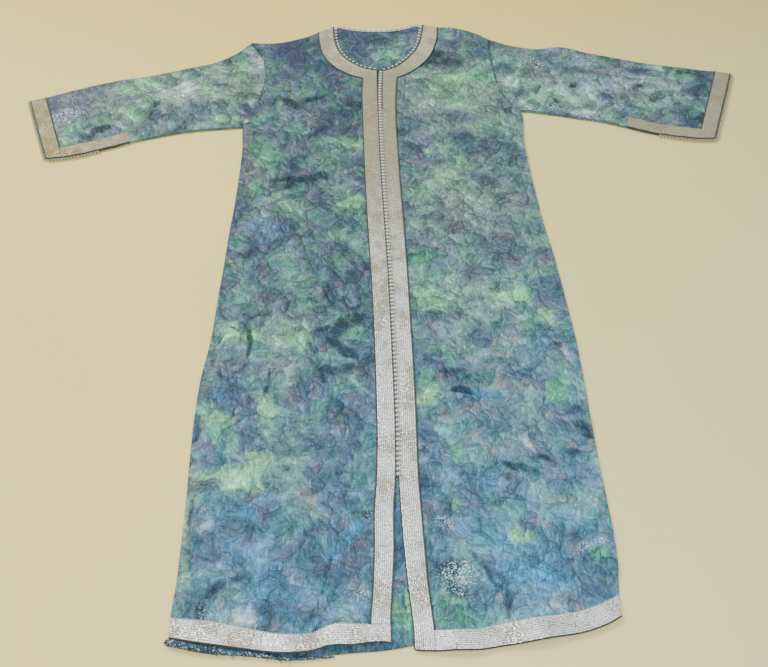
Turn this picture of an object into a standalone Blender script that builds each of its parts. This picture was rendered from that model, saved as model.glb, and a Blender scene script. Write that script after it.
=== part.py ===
"""A long kaftan laid flat, face up: back panel underneath, two fronts on it,
flattened sleeves set in at the armholes, ribbon bands along every front edge,
looped edgings at neck and cuffs, and a close row of knot buttons.

Tables and sizes are in millimetres. X runs across the garment, Y from the hem
to the neck and Z up from the surface. Left and right are as one looks at it."""

import math

import bmesh
import bpy
import numpy as np

for old in list(bpy.data.objects):
    bpy.data.objects.remove(old, do_unlink=True)

# Sizes
MM = 0.001
WALL = 1.2            # thickness of the brocade panels
RIBBON = 1.0          # thickness of the ribbon bands
RIBBON_WIDTH = 30.0
CLEAR = 0.35          # space left between pieces that are sewn together
BACK_MID = 0.6        # height of the back panel's middle plane
FRONT_MID = 2.15      # the same for a front that lies on the back
SLEEVE_MID = 3.25     # the same for the upper layer of a sleeve
SEAM_GAP = 0.45
COLUMNS = 9           # strips of a front between its side and its ribbon
PICOT_PITCH = 10.4
PICOT_ROOT = 2.2
PICOT_REACH = 5.8
BUTTON_PITCH = 8.7
BUTTON_TOP = 1246.0
BUTTON_END = 268.0
CENTRE = (13.35, 708.49)  # middle of the laid-out garment, put at the origin

# Lower edges across the width: the back hem, the front hem and the upper
# line of the ribbon along it.
HEM = [
    # x, back, front, ribbon
    (-317, 27, 32, 59),
    (-262, 14, 21, 51),
    (-209, 8, 12, 39),
    (-155, 0, 4, 28),
    (-128, 0, 6, 29),
    (-102, 1, 13, 40),
    (-72, 3, 14, 41),
    (-45, 4, 17, 41),
    (-18, 6, 15, 40),
    (8, 10, 5, 33),
    (35, 12, 2, 30),
    (60, 12, 1, 28),
    (95, 10, 1, 28),
    (125, 12, 5, 34),
    (165, 16, 9, 39),
    (206, 22, 15, 44),
    (250, 31, 23, 52),
    (278, 41, 33, 62),
    (293, 48, 41, 70),
]

# Side seams, from the hem to the armpits.
SIDES = [
    # y, left, right
    (20, -317, 288),
    (70, -317, 297),
    (120, -315, 306),
    (180, -314, 310),
    (260, -314, 311),
    (340, -314, 311),
    (430, -311, 311),
    (520, -303, 310),
    (610, -295, 305),
    (700, -288, 298),
    (790, -283, 289),
    (880, -276, 283),
    (980, -273, 279),
    (1078, -273, 281),
    (1110, -273, 283),
]

# Front edges: they nearly meet down to the slit, and open below it.
FRONT_EDGES = [
    # y, left, right
    (10, -18, 8),
    (60, -20, 6),
    (95, -14, 4),
    (130, -10, 2.5),
    (170, -9, 1.5),
    (210, -7.5, 0.5),
    (260, -3.5, 1.0),
    (310, -2, 2.5),
    (380, -0.5, 4),
    (450, 0, 5),
    (570, 0.5, 5),
    (700, 0, 4.5),
    (800, -1.5, 3),
    (900, -3, 1.5),
    (1030, -4, 1),
    (1110, -4, 1.5),
    (1160, -3.5, 3.5),
    (1210, -3, 7.5),
    (1252, -2, 11),
]

# Heights of the rows of a front below the armhole, at its side and its edge.
ROWS = [
    # side, edge
    (112, 92),
    (170, 150),
    (236, 212),
    (305, 268),
    (380, 345),
    (460, 430),
    (540, 515),
    (620, 600),
    (700, 685),
    (780, 770),
    (860, 855),
    (940, 940),
    (1010, 1020),
]

# Upper rows of each front, from the armpit to the shoulder seam: the armhole,
# the ribbon's outer line and the front edge or neckline.
TOP_LEFT = [
    # arm_x, arm_y, ribbon_x, ribbon_y, neck_x, neck_y
    (-273, 1078, -34, 1092, -4, 1092),
    (-270, 1106, -34, 1150, -3.7, 1150),
    (-250, 1143, -33, 1193, -3, 1199),
    (-237, 1187, -31, 1226, -2, 1252),
    (-232, 1215, -51, 1235, -26, 1259),
    (-231, 1243, -76, 1253, -49, 1275),
    (-234, 1272, -98, 1279, -70, 1299),
    (-241, 1302, -114, 1312, -84, 1329),
    (-253, 1331, -121, 1351, -91, 1366),
    (-268, 1356, -124, 1391, -93, 1408),
]
TOP_RIGHT = [
    # arm_x, arm_y, ribbon_x, ribbon_y, neck_x, neck_y
    (283, 1108, 31, 1092, 1.2, 1092),
    (270, 1126, 33, 1150, 3.2, 1150),
    (256, 1147, 36, 1193, 6.5, 1199),
    (245, 1182, 39, 1226, 11, 1249),
    (242, 1213, 61, 1238, 34, 1259),
    (240, 1243, 87, 1262, 58, 1281),
    (239, 1273, 108, 1290, 78, 1309),
    (239, 1302, 122, 1324, 92, 1340),
    (240, 1329, 131, 1362, 100, 1374),
    (242, 1352, 135, 1400, 105, 1409),
]
CORNER = 3            # the upper row where front edge and neckline meet
# how far each shoulder seam sinks below the straight line at its middle
SHOULDER_DIP = {-1: 16.0, 1: -9.0}

BACK_NECK = [
    # x, y
    (-93, 1408),
    (-80, 1411),
    (-62, 1405),
    (-40, 1399),
    (-12, 1395),
    (20, 1394),
    (46, 1397),
    (68, 1403),
    (88, 1411),
    (105, 1409),
]

# Sleeves from cuff to armhole: lower and upper edge of each section.
SLEEVE_LEFT = [
    # low_x, low_y, top_x, top_y
    (-646, 1001, -708, 1178),
    (-617, 1005, -680, 1189),
    (-585, 1012, -650, 1202),
    (-550, 1024, -611, 1217),
    (-520, 1034, -575, 1229),
    (-491, 1045, -539, 1240),
    (-450, 1057, -490, 1251),
    (-405, 1069, -440, 1265),
    (-362, 1076, -388, 1282),
    (-326, 1078, -338, 1296),
    (-298, 1078, -300, 1322),
    (-273, 1078, -268, 1356),
]
SLEEVE_RIGHT = [
    # low_x, low_y, top_x, top_y
    (654, 1016, 735, 1220),
    (624, 1017, 707, 1229),
    (590, 1024, 675, 1236),
    (553, 1032, 637, 1246),
    (518, 1044, 600, 1255),
    (488, 1057, 562, 1265),
    (440, 1076, 502, 1285),
    (395, 1088, 447, 1305),
    (352, 1099, 392, 1326),
    (320, 1105, 338, 1322),
    (300, 1108, 290, 1334),
    (283, 1108, 242, 1352),
]
SLIT = 5              # the cuff slit ends at this section

# Low swells of the laid cloth: middle, length and width to where they fade,
# the turn of the long way from +X, and the height.
SWELLS = [
    # x, y, length, width, turn, height
    (-152, 12, 60, 44, 95, 7.0),
    (-78, 52, 75, 26, 62, 6.5),
    (-250, 60, 90, 46, 100, 3.5),
    (-196, 250, 190, 60, 84, 4.0),
    (-110, 420, 200, 52, 97, 3.2),
    (-250, 560, 180, 48, 82, 3.0),
    (-150, 760, 170, 60, 104, 4.2),
    (-205, 980, 150, 52, 58, 4.5),
    (-95, 1110, 110, 46, 28, 3.6),
    (-185, 1190, 110, 50, 60, 5.0),
    (-195, 1310, 90, 40, 12, 3.5),
    (66, 14, 62, 40, 92, 6.0),
    (180, 30, 80, 44, 104, 6.5),
    (262, 90, 110, 36, 96, 3.4),
    (110, 230, 190, 60, 92, 4.2),
    (225, 390, 200, 56, 86, 3.6),
    (100, 560, 180, 50, 80, 3.0),
    (205, 720, 200, 60, 95, 4.5),
    (120, 930, 170, 54, 100, 3.6),
    (215, 1030, 140, 50, 120, 4.6),
    (120, 1150, 110, 44, 150, 3.8),
    (185, 1260, 110, 46, 110, 4.6),
    (-300, 1225, 95, 52, 100, 7.0),
    (-395, 1160, 120, 46, 14, 4.0),
    (-520, 1150, 130, 44, 22, 4.5),
    (-640, 1110, 60, 46, 104, 2.6),
    (300, 1215, 100, 56, 84, 7.5),
    (410, 1200, 130, 48, 164, 4.2),
    (540, 1160, 140, 46, 158, 4.6),
    (660, 1130, 60, 48, 72, 2.6),
]


def column(table, index):
    return np.array([row[index] for row in table], float)


def follow(table, index, at):
    """Value of one column at a place in the first, on a smooth curve."""
    x = column(table, 0)
    y = column(table, index)
    slope = np.gradient(y, x)
    k = int(np.clip(np.searchsorted(x, at) - 1, 0, len(x) - 2))
    h = x[k + 1] - x[k]
    t = (min(max(at, x[0]), x[-1]) - x[k]) / h
    return ((2 * t ** 3 - 3 * t ** 2 + 1) * y[k] + (t ** 3 - 2 * t ** 2 + t) * h * slope[k]
            + (3 * t ** 2 - 2 * t ** 3) * y[k + 1] + (t ** 3 - t ** 2) * h * slope[k + 1])


def swell(x, y):
    """Height of the soft folds at a place, lower along the stiff front edges."""
    rise = 0.0
    for cx, cy, length, width, turn, height in SWELLS:
        a = math.radians(turn)
        along = ((x - cx) * math.cos(a) + (y - cy) * math.sin(a)) / length
        across = ((y - cy) * math.cos(a) - (x - cx) * math.sin(a)) / width
        rise += height * math.exp(-1.6 * (along ** 2 + across ** 2) - 0.5 * along ** 4)
    near = min(max((abs(x) - 22.0) / 60.0, 0.0), 1.0)
    loose = 0.12 + 0.88 * near * near * (3 - 2 * near)
    if y > 1252:
        loose = max(loose, min((y - 1252) / 60.0, 0.5))
    return rise * loose


def shoulder_dip(side, t):
    """Sink of a shoulder seam between the armhole (0) and the ribbon (1)."""
    return SHOULDER_DIP[side] * 4 * t * (1 - t)


def material(name, colour, roughness, metallic=0.0):
    mat = bpy.data.materials.new(name)
    mat.use_nodes = True
    bsdf = mat.node_tree.nodes["Principled BSDF"]
    bsdf.inputs["Base Color"].default_value = (*colour, 1.0)
    bsdf.inputs["Roughness"].default_value = roughness
    bsdf.inputs["Metallic"].default_value = metallic
    return mat


def add_object(name, points, faces, colour, roughness, metallic=0.0):
    """A closed mesh from points in millimetres, with its faces turned out."""
    mesh = bpy.data.meshes.new(name)
    moved = [((p[0] - CENTRE[0]) * MM, (p[1] - CENTRE[1]) * MM, p[2] * MM) for p in points]
    mesh.from_pydata(moved, [], faces)
    bm = bmesh.new()
    bm.from_mesh(mesh)
    bmesh.ops.recalc_face_normals(bm, faces=bm.faces)
    bm.to_mesh(mesh)
    bm.free()
    mesh.materials.append(material(name, colour, roughness, metallic))
    mesh.shade_smooth()
    mesh.set_sharp_from_angle(angle=math.radians(40))
    ob = bpy.data.objects.new(name, mesh)
    bpy.context.collection.objects.link(ob)
    return ob


def grid_normals(grid):
    """Upward unit normals of a grid of points [row][column]."""
    du = np.gradient(grid, axis=0)
    dv = np.gradient(grid, axis=1)
    n = np.cross(du, dv)
    n /= np.linalg.norm(n, axis=2, keepdims=True)
    return n * np.sign(n[..., 2:3])


def quilt(name, grid, normals, cells, low, high, look):
    """A wall over some cells of a grid, between two distances from its
    points, with edge strips wherever a cell has no neighbour."""
    points = []
    index = {}

    def corner(i, j, top):
        key = (i, j, top)
        if key not in index:
            index[key] = len(points)
            points.append(grid[i, j] + normals[i, j] * (high if top else low))
        return index[key]

    faces = []
    for i, j in sorted(cells):
        ring = [(i, j), (i + 1, j), (i + 1, j + 1), (i, j + 1)]
        for top in (True, False):
            a, b, c, d = (corner(*k, top) for k in ring)
            faces += [(a, b, c), (a, c, d)] if top else [(c, b, a), (d, c, a)]
        sides = [((i, j - 1), 0, 1), ((i + 1, j), 1, 2), ((i, j + 1), 2, 3), ((i - 1, j), 3, 0)]
        for other, p, q in sides:
            if other not in cells:
                a = corner(*ring[p], True)
                b = corner(*ring[q], True)
                c = corner(*ring[q], False)
                d = corner(*ring[p], False)
                faces += [(b, a, d), (b, d, c)]
    return add_object(name, points, faces, *look)


def cells_of(rows, columns):
    return {(i, j) for i in range(*rows) for j in range(*columns)}


def front_grid(side, top):
    """Rows of points of one front, from hem to shoulder, each from the side
    seam or armhole to the ribbon's outer line and on to the front edge."""
    k = 1 if side < 0 else 2
    outer = []
    ribbon = []
    inner = []
    foot_side = -317.0 if side < 0 else 293.0
    foot_edge = follow(FRONT_EDGES, k, 20)
    for line in (2, 3):
        outer.append((foot_side + (0 if line == 2 else side * 0.5), follow(HEM, line, foot_side)))
        at = foot_edge + side * RIBBON_WIDTH
        ribbon.append((at, follow(HEM, line, at)))
        inner.append((foot_edge, follow(HEM, line, foot_edge)))
    for side_y, edge_y in ROWS:
        edge = follow(FRONT_EDGES, k, edge_y)
        outer.append((follow(SIDES, k, side_y), side_y))
        ribbon.append((edge + side * RIBBON_WIDTH, edge_y))
        inner.append((edge, edge_y))
    for ax, ay, rx, ry, nx, ny in top:
        outer.append((ax, ay))
        ribbon.append((rx, ry))
        inner.append((nx, ny))

    armpit = 2 + len(ROWS)
    grid = np.zeros((len(outer), COLUMNS + 2, 3))
    for i, (o, r, n) in enumerate(zip(outer, ribbon, inner)):
        raised = min(max((i - armpit + 3) / 3.0, 0.0), 1.0)
        near_seam = max(0.0, 1 - (len(outer) - 1 - i) / 3.0)
        for j in range(COLUMNS + 1):
            t = j / COLUMNS
            x = o[0] + (r[0] - o[0]) * t
            y = o[1] + (r[1] - o[1]) * t - near_seam * shoulder_dip(side, t)
            if i < 2:
                y = follow(HEM, 2 + i, x)
            lift = (SLEEVE_MID - FRONT_MID) * raised * (1 - t) ** 2
            grid[i, j] = (x, y, FRONT_MID + lift + swell(x, y))
        grid[i, COLUMNS + 1] = (n[0], n[1], FRONT_MID + swell(n[0], n[1]))
    return grid


def nudge(grid, row, toward, by):
    """Move one row of points a little toward another row."""
    step = grid[toward] - grid[row]
    size = np.linalg.norm(step, axis=1, keepdims=True)
    grid[row] += step / size * by


def front_and_bands(side, top, word):
    grid = front_grid(side, top)
    normals = grid_normals(grid)
    rows = len(grid) - 1
    corner = 2 + len(ROWS) + CORNER
    wall = WALL / 2
    low = wall + CLEAR
    high = low + RIBBON
    cloth = ((0.16, 0.27, 0.33), 0.62)
    silver = ((0.55, 0.54, 0.48), 0.42, 0.35)
    quilt("front_" + word, grid, normals, cells_of((0, rows), (0, COLUMNS + 1)), -wall, wall, cloth)

    # the hem ribbon covers the front ribbon's foot on one side and butts
    # against it on the other
    if side < 0:
        hem = cells_of((0, 1), (0, COLUMNS + 1))
        foot = 1
    else:
        hem = cells_of((0, 1), (0, COLUMNS))
        foot = 0
    quilt("hem_band_" + word, grid, normals, hem, low, high, silver)
    edge = grid.copy()
    if side < 0:
        nudge(edge, foot, foot + 1, SEAM_GAP)
    else:
        edge[:, COLUMNS, 0] -= SEAM_GAP
    nudge(edge, corner, corner - 1, SEAM_GAP / 2)
    quilt("front_band_" + word, edge, normals, cells_of((foot, corner), (COLUMNS, COLUMNS + 1)),
          low, high, silver)
    neck = grid.copy()
    nudge(neck, corner, corner + 1, SEAM_GAP / 2)
    quilt("neck_band_" + word, neck, normals, cells_of((corner, rows), (COLUMNS, COLUMNS + 1)),
          low, high, silver)
    return grid, corner


def shoulder(side, row):
    """Points of a shoulder seam, from past the armhole to the ribbon's line."""
    ax, ay, rx, ry = row[:4]
    steps = [k / COLUMNS for k in range(1, COLUMNS + 1)]
    return [(ax + (rx - ax) * t, ay + (ry - ay) * t - shoulder_dip(side, t)) for t in steps]


def back_panel():
    """One flat sheet with the outline of both fronts together."""
    outline = [(x, back) for x, back, front, ribbon in HEM]
    outline += [(follow(SIDES, 2, y), y) for y in range(110, 1090, 70)]
    outline += [(row[0], row[1]) for row in TOP_RIGHT]
    outline += shoulder(1, TOP_RIGHT[-1])
    outline += list(reversed(BACK_NECK))
    outline += reversed(shoulder(-1, TOP_LEFT[-1]))
    outline += [(row[0], row[1]) for row in reversed(TOP_LEFT)]
    outline += [(follow(SIDES, 1, y), y) for y in range(1030, 60, -70)]
    count = len(outline)
    points = [(x, y, z) for z in (0.0, WALL) for x, y in outline]
    faces = [tuple(range(count)), tuple(range(count, 2 * count))]
    for k in range(count):
        n = (k + 1) % count
        faces.append((k, n, n + count, k + count))
    return add_object("back", points, faces, (0.10, 0.18, 0.25), 0.62)


def sleeve(side, table, top, word):
    """A flattened tube from cuff to armhole, slit along its lower edge near
    the cuff, and the ribbon that runs round the cuff and along the slit."""
    arm = np.array([(row[0] + side * SEAM_GAP, row[1]) for row in top], float)
    length = np.concatenate([[0], np.cumsum(np.linalg.norm(np.diff(arm, axis=0), axis=1))])
    arm_t = length / length[-1]
    last = len(table) - 1
    flat = len(arm)
    up = np.array([0.0, 0.0, 1.0])
    points = []
    normals = []
    for i, (lx, ly, tx, ty) in enumerate(table):
        low = np.array([lx, ly], float)
        high = np.array([tx, ty], float)
        span = np.linalg.norm(high - low)
        strip = RIBBON_WIDTH / span
        cuff_t = np.concatenate([[0], strip + (1 - strip) * np.linspace(0, 1, flat - 1)])
        u = i / last
        late = max(0.0, (u - 0.5) / 0.5)
        late = late * late * (3 - 2 * late)
        t = (1 - late) * cuff_t + late * arm_t
        line = low + (high - low) * t[:, None]
        straight = arm[0] + (arm[-1] - arm[0]) * arm_t[:, None]
        line = line + (arm - straight) * late
        if i == last:
            line = arm.copy()
        upper = np.array([SLEEVE_MID + swell(*p) for p in line])
        e_low = (line[1] - line[0]) / np.linalg.norm(line[1] - line[0])
        e_top = (line[-2] - line[-1]) / np.linalg.norm(line[-2] - line[-1])
        r_low = (upper[0] - BACK_MID) / 2
        r_top = (upper[-1] - BACK_MID) / 2
        row = []

        def put(plan, z, normal):
            row.append((np.array([plan[0], plan[1], z]), np.array(normal, float)))

        def bend(end, way, r, angle):
            a = math.radians(angle)
            plan = end + way * r * (1 - math.cos(a))
            put(plan, BACK_MID + r + r * math.sin(a), (*(-way * math.cos(a)), math.sin(a)))

        open_edge = i < SLIT
        if open_edge:
            put(line[0], upper[0], up)
            put(line[0] + e_low * r_low * 0.5, upper[0], up)
        else:
            bend(line[0], e_low, r_low, 0)
            bend(line[0], e_low, r_low, 45)
        for j in range(flat):
            plan = line[j]
            if j == 0:
                plan = line[0] + e_low * r_low
            if j == flat - 1:
                plan = line[-1] + e_top * r_top
            put(plan, upper[j], up)
        bend(line[-1], e_top, r_top, 45)
        bend(line[-1], e_top, r_top, 0)
        bend(line[-1], e_top, r_top, -45)
        for j in reversed(range(flat)):
            plan = line[j]
            if j == 0:
                plan = line[0] + e_low * r_low
            if j == flat - 1:
                plan = line[-1] + e_top * r_top
            put(plan, BACK_MID, -up)
        if open_edge:
            put(line[0] + e_low * r_low * 0.5, BACK_MID, -up)
            put(line[0], BACK_MID, -up)
        else:
            bend(line[0], e_low, r_low, -45)
            bend(line[0], e_low, r_low, 0)
        points.append([p for p, n in row])
        normals.append([n for p, n in row])
    points = np.array(points)
    normals = np.array(normals)

    # the upper layer leans with its swells
    lean = grid_normals(points[:, 2:2 + flat])
    normals[:, 2:2 + flat] = lean
    for i in range(SLIT):
        normals[i, 0] = normals[i, 1] = lean[i, 0]

    rows, ring = points.shape[:2]
    verts = []
    index = {}

    def corner(i, v, out):
        if i >= SLIT and v == ring - 1:
            v = 0
        key = (i, v, out)
        if key not in index:
            index[key] = len(verts)
            verts.append(points[i, v] + normals[i, v] * (WALL / 2 if out else -WALL / 2))
        return index[key]

    def strip_face(a, b, c, d):
        faces.append((a, b, c))
        faces.append((a, c, d))

    faces = []
    for i in range(rows - 1):
        for v in range(ring - 1):
            for out in (True, False):
                loop = [corner(i, v, out), corner(i + 1, v, out),
                        corner(i + 1, v + 1, out), corner(i, v + 1, out)]
                strip_face(*loop)
    for v in range(ring - 1):
        for i in (0, rows - 1):
            strip_face(corner(i, v, True), corner(i, v + 1, True),
                       corner(i, v + 1, False), corner(i, v, False))
    for i in range(SLIT):
        for v in (0, ring - 1):
            strip_face(corner(i, v, True), corner(i + 1, v, True),
                       corner(i + 1, v, False), corner(i, v, False))
    add_object("sleeve_" + word, verts, faces, (0.20, 0.30, 0.36), 0.58)

    layer = points[:, 2:2 + flat]
    over = cells_of((0, 1), (0, flat - 1)) | cells_of((0, SLIT), (0, 1))
    wall = WALL / 2 + CLEAR
    quilt("cuff_band_" + word, layer, lean, over, wall, wall + RIBBON,
          ((0.50, 0.49, 0.42), 0.42, 0.35))
    return list(layer[0, ::-1]) + list(points[:4, 0])


def edging(name, path, away):
    """A flat row of scallops beside a cloth edge, given as points along it.
    away is +1 where the scallops lie to the left of the way along."""
    path = np.array(path, float)
    steps = np.linalg.norm(np.diff(path[:, :2], axis=0), axis=1)
    run = np.concatenate([[0], np.cumsum(steps)])
    count = int(round(run[-1] / PICOT_PITCH)) * 4
    places = np.linspace(0, run[-1], count + 1)
    for bend in run[1:-1]:
        places[np.argmin(abs(places - bend))] = bend
    line = np.stack([np.interp(places, run, path[:, k]) for k in range(3)], 1)
    tangent = np.gradient(line[:, :2], axis=0)
    tangent /= np.linalg.norm(tangent, axis=1, keepdims=True)
    out = np.stack([-tangent[:, 1], tangent[:, 0]], 1) * away
    points = []
    for k in range(count + 1):
        reach = PICOT_ROOT + (PICOT_REACH - PICOT_ROOT) * abs(math.sin(math.pi * k / 4))
        for z in (-0.5, 0.5):
            for d in (SEAM_GAP, SEAM_GAP + reach):
                x, y = line[k, :2] + out[k] * d
                points.append((x, y, line[k, 2] + z))
    faces = [(0, 1, 3, 2), (4 * count, 4 * count + 1, 4 * count + 3, 4 * count + 2)]
    for k in range(count):
        a = 4 * k
        b = a + 4
        for p, q in ((0, 1), (1, 3), (3, 2), (2, 0)):
            faces.append((a + p, a + q, b + q))
            faces.append((a + p, b + q, b + p))
    return add_object(name, points, faces, (0.55, 0.56, 0.52), 0.5)


def button_row(left, right, corner):
    """Knots in close file on one cord, over the meeting of the front edges."""
    count = int(round((BUTTON_TOP - BUTTON_END) / BUTTON_PITCH))
    over = WALL / 2 + CLEAR + RIBBON + CLEAR
    sections = []
    for k in range(2 * count + 1):
        y = BUTTON_END + (BUTTON_TOP - BUTTON_END) * k / (2 * count)
        tops = []
        for grid in (left, right):
            rows = grid[:corner + 1]
            for col in (COLUMNS, COLUMNS + 1):
                tops.append(np.interp(y, rows[:, col, 1], rows[:, col, 2]))
        l = np.interp(y, left[:corner + 1, -1, 1], left[:corner + 1, -1, 0])
        r = np.interp(y, right[:corner + 1, -1, 1], right[:corner + 1, -1, 0])
        x = (l + r) / 2 + 1.6
        base = max(tops) + over
        half, tall = (3.3, 4.4) if k % 2 else (1.3, 2.3)
        sections.append([
            (x - half * 0.55, y, base),
            (x + half * 0.55, y, base),
            (x + half, y, base + tall * 0.5),
            (x + half * 0.5, y, base + tall),
            (x - half * 0.5, y, base + tall),
            (x - half, y, base + tall * 0.5),
        ])
    points = [p for s in sections for p in s]
    last = 6 * (len(sections) - 1)
    faces = [tuple(range(6)), tuple(range(last, last + 6))]
    for k in range(len(sections) - 1):
        for j in range(6):
            a = 6 * k + j
            b = 6 * k + (j + 1) % 6
            faces.append((a, b, b + 6))
            faces.append((a, b + 6, a + 6))
    return add_object("button_row", points, faces, (0.62, 0.63, 0.58), 0.4)


back_panel()
left_grid, corner_row = front_and_bands(-1, TOP_LEFT, "left")
right_grid, corner_row = front_and_bands(1, TOP_RIGHT, "right")
left_cuff = sleeve(-1, SLEEVE_LEFT, TOP_LEFT, "left")
right_cuff = sleeve(1, SLEEVE_RIGHT, TOP_RIGHT, "right")

edging("neck_edging_left", left_grid[corner_row:, -1], -1)
edging("neck_edging_right", right_grid[corner_row:, -1], 1)
edging("neck_edging_back", [(x, y, BACK_MID) for x, y in BACK_NECK], 1)
edging("cuff_edging_left", left_cuff, -1)
edging("cuff_edging_right", right_cuff, 1)
button_row(left_grid, right_grid, corner_row)
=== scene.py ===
"""The looks of a long brocade kaftan laid flat, face up, on a pale floor.

Cloth is worked out in millimetres on the garment's own plan: X runs across it,
Y from the hem to the neck, Z up from the floor. Left and right are as one looks
at it."""

import math

import bpy
import numpy as np
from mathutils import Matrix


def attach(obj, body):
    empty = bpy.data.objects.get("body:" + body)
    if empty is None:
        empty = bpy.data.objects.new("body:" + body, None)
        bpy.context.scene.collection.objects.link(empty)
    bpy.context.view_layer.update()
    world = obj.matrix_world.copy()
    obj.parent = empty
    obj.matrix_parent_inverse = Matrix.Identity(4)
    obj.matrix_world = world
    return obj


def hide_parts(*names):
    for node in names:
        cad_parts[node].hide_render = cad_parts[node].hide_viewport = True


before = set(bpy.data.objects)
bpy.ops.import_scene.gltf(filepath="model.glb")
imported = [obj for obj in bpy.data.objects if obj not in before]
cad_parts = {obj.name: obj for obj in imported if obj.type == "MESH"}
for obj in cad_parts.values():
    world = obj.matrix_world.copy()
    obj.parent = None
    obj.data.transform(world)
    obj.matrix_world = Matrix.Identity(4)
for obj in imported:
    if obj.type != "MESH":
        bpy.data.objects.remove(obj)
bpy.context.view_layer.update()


# The room: a plain pale floor with painted light on it, warmer toward its far
# side and cooler toward the near right, a wide soft light overhead, a second one
# on the viewer's side that the silver ribbons catch, and the camera, which looks
# down at the garment from beyond its hem.
class Shade:
    """A value in a material's nodes. Sums on it add Math nodes, and node() adds
    any other node and gives back one of its outputs."""

    def __init__(self, tree, socket=None):
        self.tree = tree
        self.socket = socket

    def node(self, kind, settings=None, sockets=None, out=0):
        """A new node: its settings first, then its sockets' values or links."""
        made = self.tree.nodes.new(kind)
        for name, value in (settings or {}).items():
            setattr(made, name, value)
        for name, value in (sockets or {}).items():
            if isinstance(value, Shade):
                self.tree.links.new(value.socket, made.inputs[name])
            else:
                made.inputs[name].default_value = value
        return Shade(self.tree, made.outputs[out])

    def also(self, out):
        """Another output of the node that this value comes from."""
        return Shade(self.tree, self.socket.node.outputs[out])

    def maths(self, operation, a, b=0.0):
        """A Math node on one value or on two."""
        return self.node("ShaderNodeMath", {"operation": operation}, {0: a, 1: b})

    def __add__(self, other):
        return self.maths("ADD", self, other)

    __radd__ = __add__

    def __sub__(self, other):
        return self.maths("SUBTRACT", self, other)

    def __rsub__(self, other):
        return self.maths("SUBTRACT", other, self)

    def __mul__(self, other):
        return self.maths("MULTIPLY", self, other)

    __rmul__ = __mul__

    def __pow__(self, other):
        return self.maths("POWER", self, other)

    def __rpow__(self, other):
        return self.maths("POWER", other, self)

    def __abs__(self):
        return self.maths("ABSOLUTE", self)

    def between(self, low, high):
        """0 below low, 1 above high, and a smooth step from one to the other."""
        return self.node("ShaderNodeMapRange", {"interpolation_type": "SMOOTHSTEP"},
                         {"Value": self, "From Min": low, "From Max": high})

    def mix(self, under, over):
        """The colour under, turned to the colour over by this share."""
        return self.node("ShaderNodeMix", {"data_type": "RGBA"}, {0: self, 6: under, 7: over}, out=2)

    def xyz(self):
        """The three numbers of this vector or colour."""
        first = self.node("ShaderNodeSeparateXYZ", {}, {0: self})
        return first, first.also(1), first.also(2)

    def noise(self, scale, detail, rough=0.5, out="Fac"):
        """Cloudy noise, read at this vector."""
        return self.node("ShaderNodeTexNoise", {}, {
            "Vector": self, "Scale": scale, "Detail": detail, "Roughness": rough}, out=out)

    def bump(self, distance, strength):
        """The surface's normal, tilted by this height."""
        return self.node("ShaderNodeBump", {}, {
            "Height": self, "Distance": distance, "Strength": strength})


def rgb(red, green, blue):
    """A colour as a screen shows it, 0 to 255, in the linear values of a shader."""
    share = np.array([red, green, blue]) / 255
    linear = np.where(share > 0.04045, ((share + 0.055) / 1.055) ** 2.4, share / 12.92)
    return (*(float(v) for v in linear), 1.0)


def new_material(name, roughness=0.5, sheen=0.0):
    """A material, its Shade to add nodes with, and its shader's sockets."""
    made = bpy.data.materials.new(name)
    made.use_nodes = True
    shader = made.node_tree.nodes["Principled BSDF"]
    shader.inputs["Roughness"].default_value = roughness
    shader.inputs["Sheen Weight"].default_value = sheen
    return made, Shade(made.node_tree), shader.inputs


def give(made, sockets, **values):
    """Link values to a shader's sockets, which are named with _ for a space."""
    for name, value in values.items():
        made.tree.links.new(value.socket, sockets[name.replace("_", " ")])


floor_paint, paint, sockets = new_material("floor_paint", roughness=0.9)
place = paint.node("ShaderNodeTexCoord", out="Object")
x, y = place.xyz()[:2]
nap = place.noise(420.0, 2.0)
drift = place.noise(2.5, 2.0)
tone = (1.2 * (nap - 0.5) + 0.5 * drift + 0.25).mix(rgb(236, 213, 124), rgb(255, 236, 152))
# painted light on the floor: paler and cooler toward the right and the near side, more yellow toward the
# far side
tone = ((x - 0.6 * y).between(-0.5, 1.1) * 0.8).mix(tone, rgb(222, 217, 164))
tone = (y.between(0.35, 1.0) * 0.7).mix(tone, rgb(234, 204, 100))
give(paint, sockets, Base_Color=tone, Normal=nap.bump(0.001, 0.35))

FLOOR = 3.0           # half its width, in metres
FLOOR_LEVEL = -0.0006
floor_mesh = bpy.data.meshes.new("floor")
floor_mesh.from_pydata([(-FLOOR, -FLOOR, FLOOR_LEVEL), (FLOOR, -FLOOR, FLOOR_LEVEL),
                        (FLOOR, FLOOR, FLOOR_LEVEL), (-FLOOR, FLOOR, FLOOR_LEVEL)], [], [(0, 1, 2, 3)])
floor_mesh.materials.append(floor_paint)
floor = bpy.data.objects.new("floor", floor_mesh)
bpy.context.collection.objects.link(floor)


def soft_light(name, place, toward, size, power, colour):
    """A square soft light at a place, turned toward another."""
    lamp = bpy.data.lights.new(name, "AREA")
    lamp.size = size
    lamp.energy = power
    lamp.color = colour
    light = bpy.data.objects.new(name, lamp)
    light.location = place
    way = np.array(toward) - np.array(place)
    light.rotation_euler = (math.acos(-way[2] / np.linalg.norm(way)), 0.0,
                            math.atan2(way[1], way[0]) - math.pi / 2)
    bpy.context.collection.objects.link(light)


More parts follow.
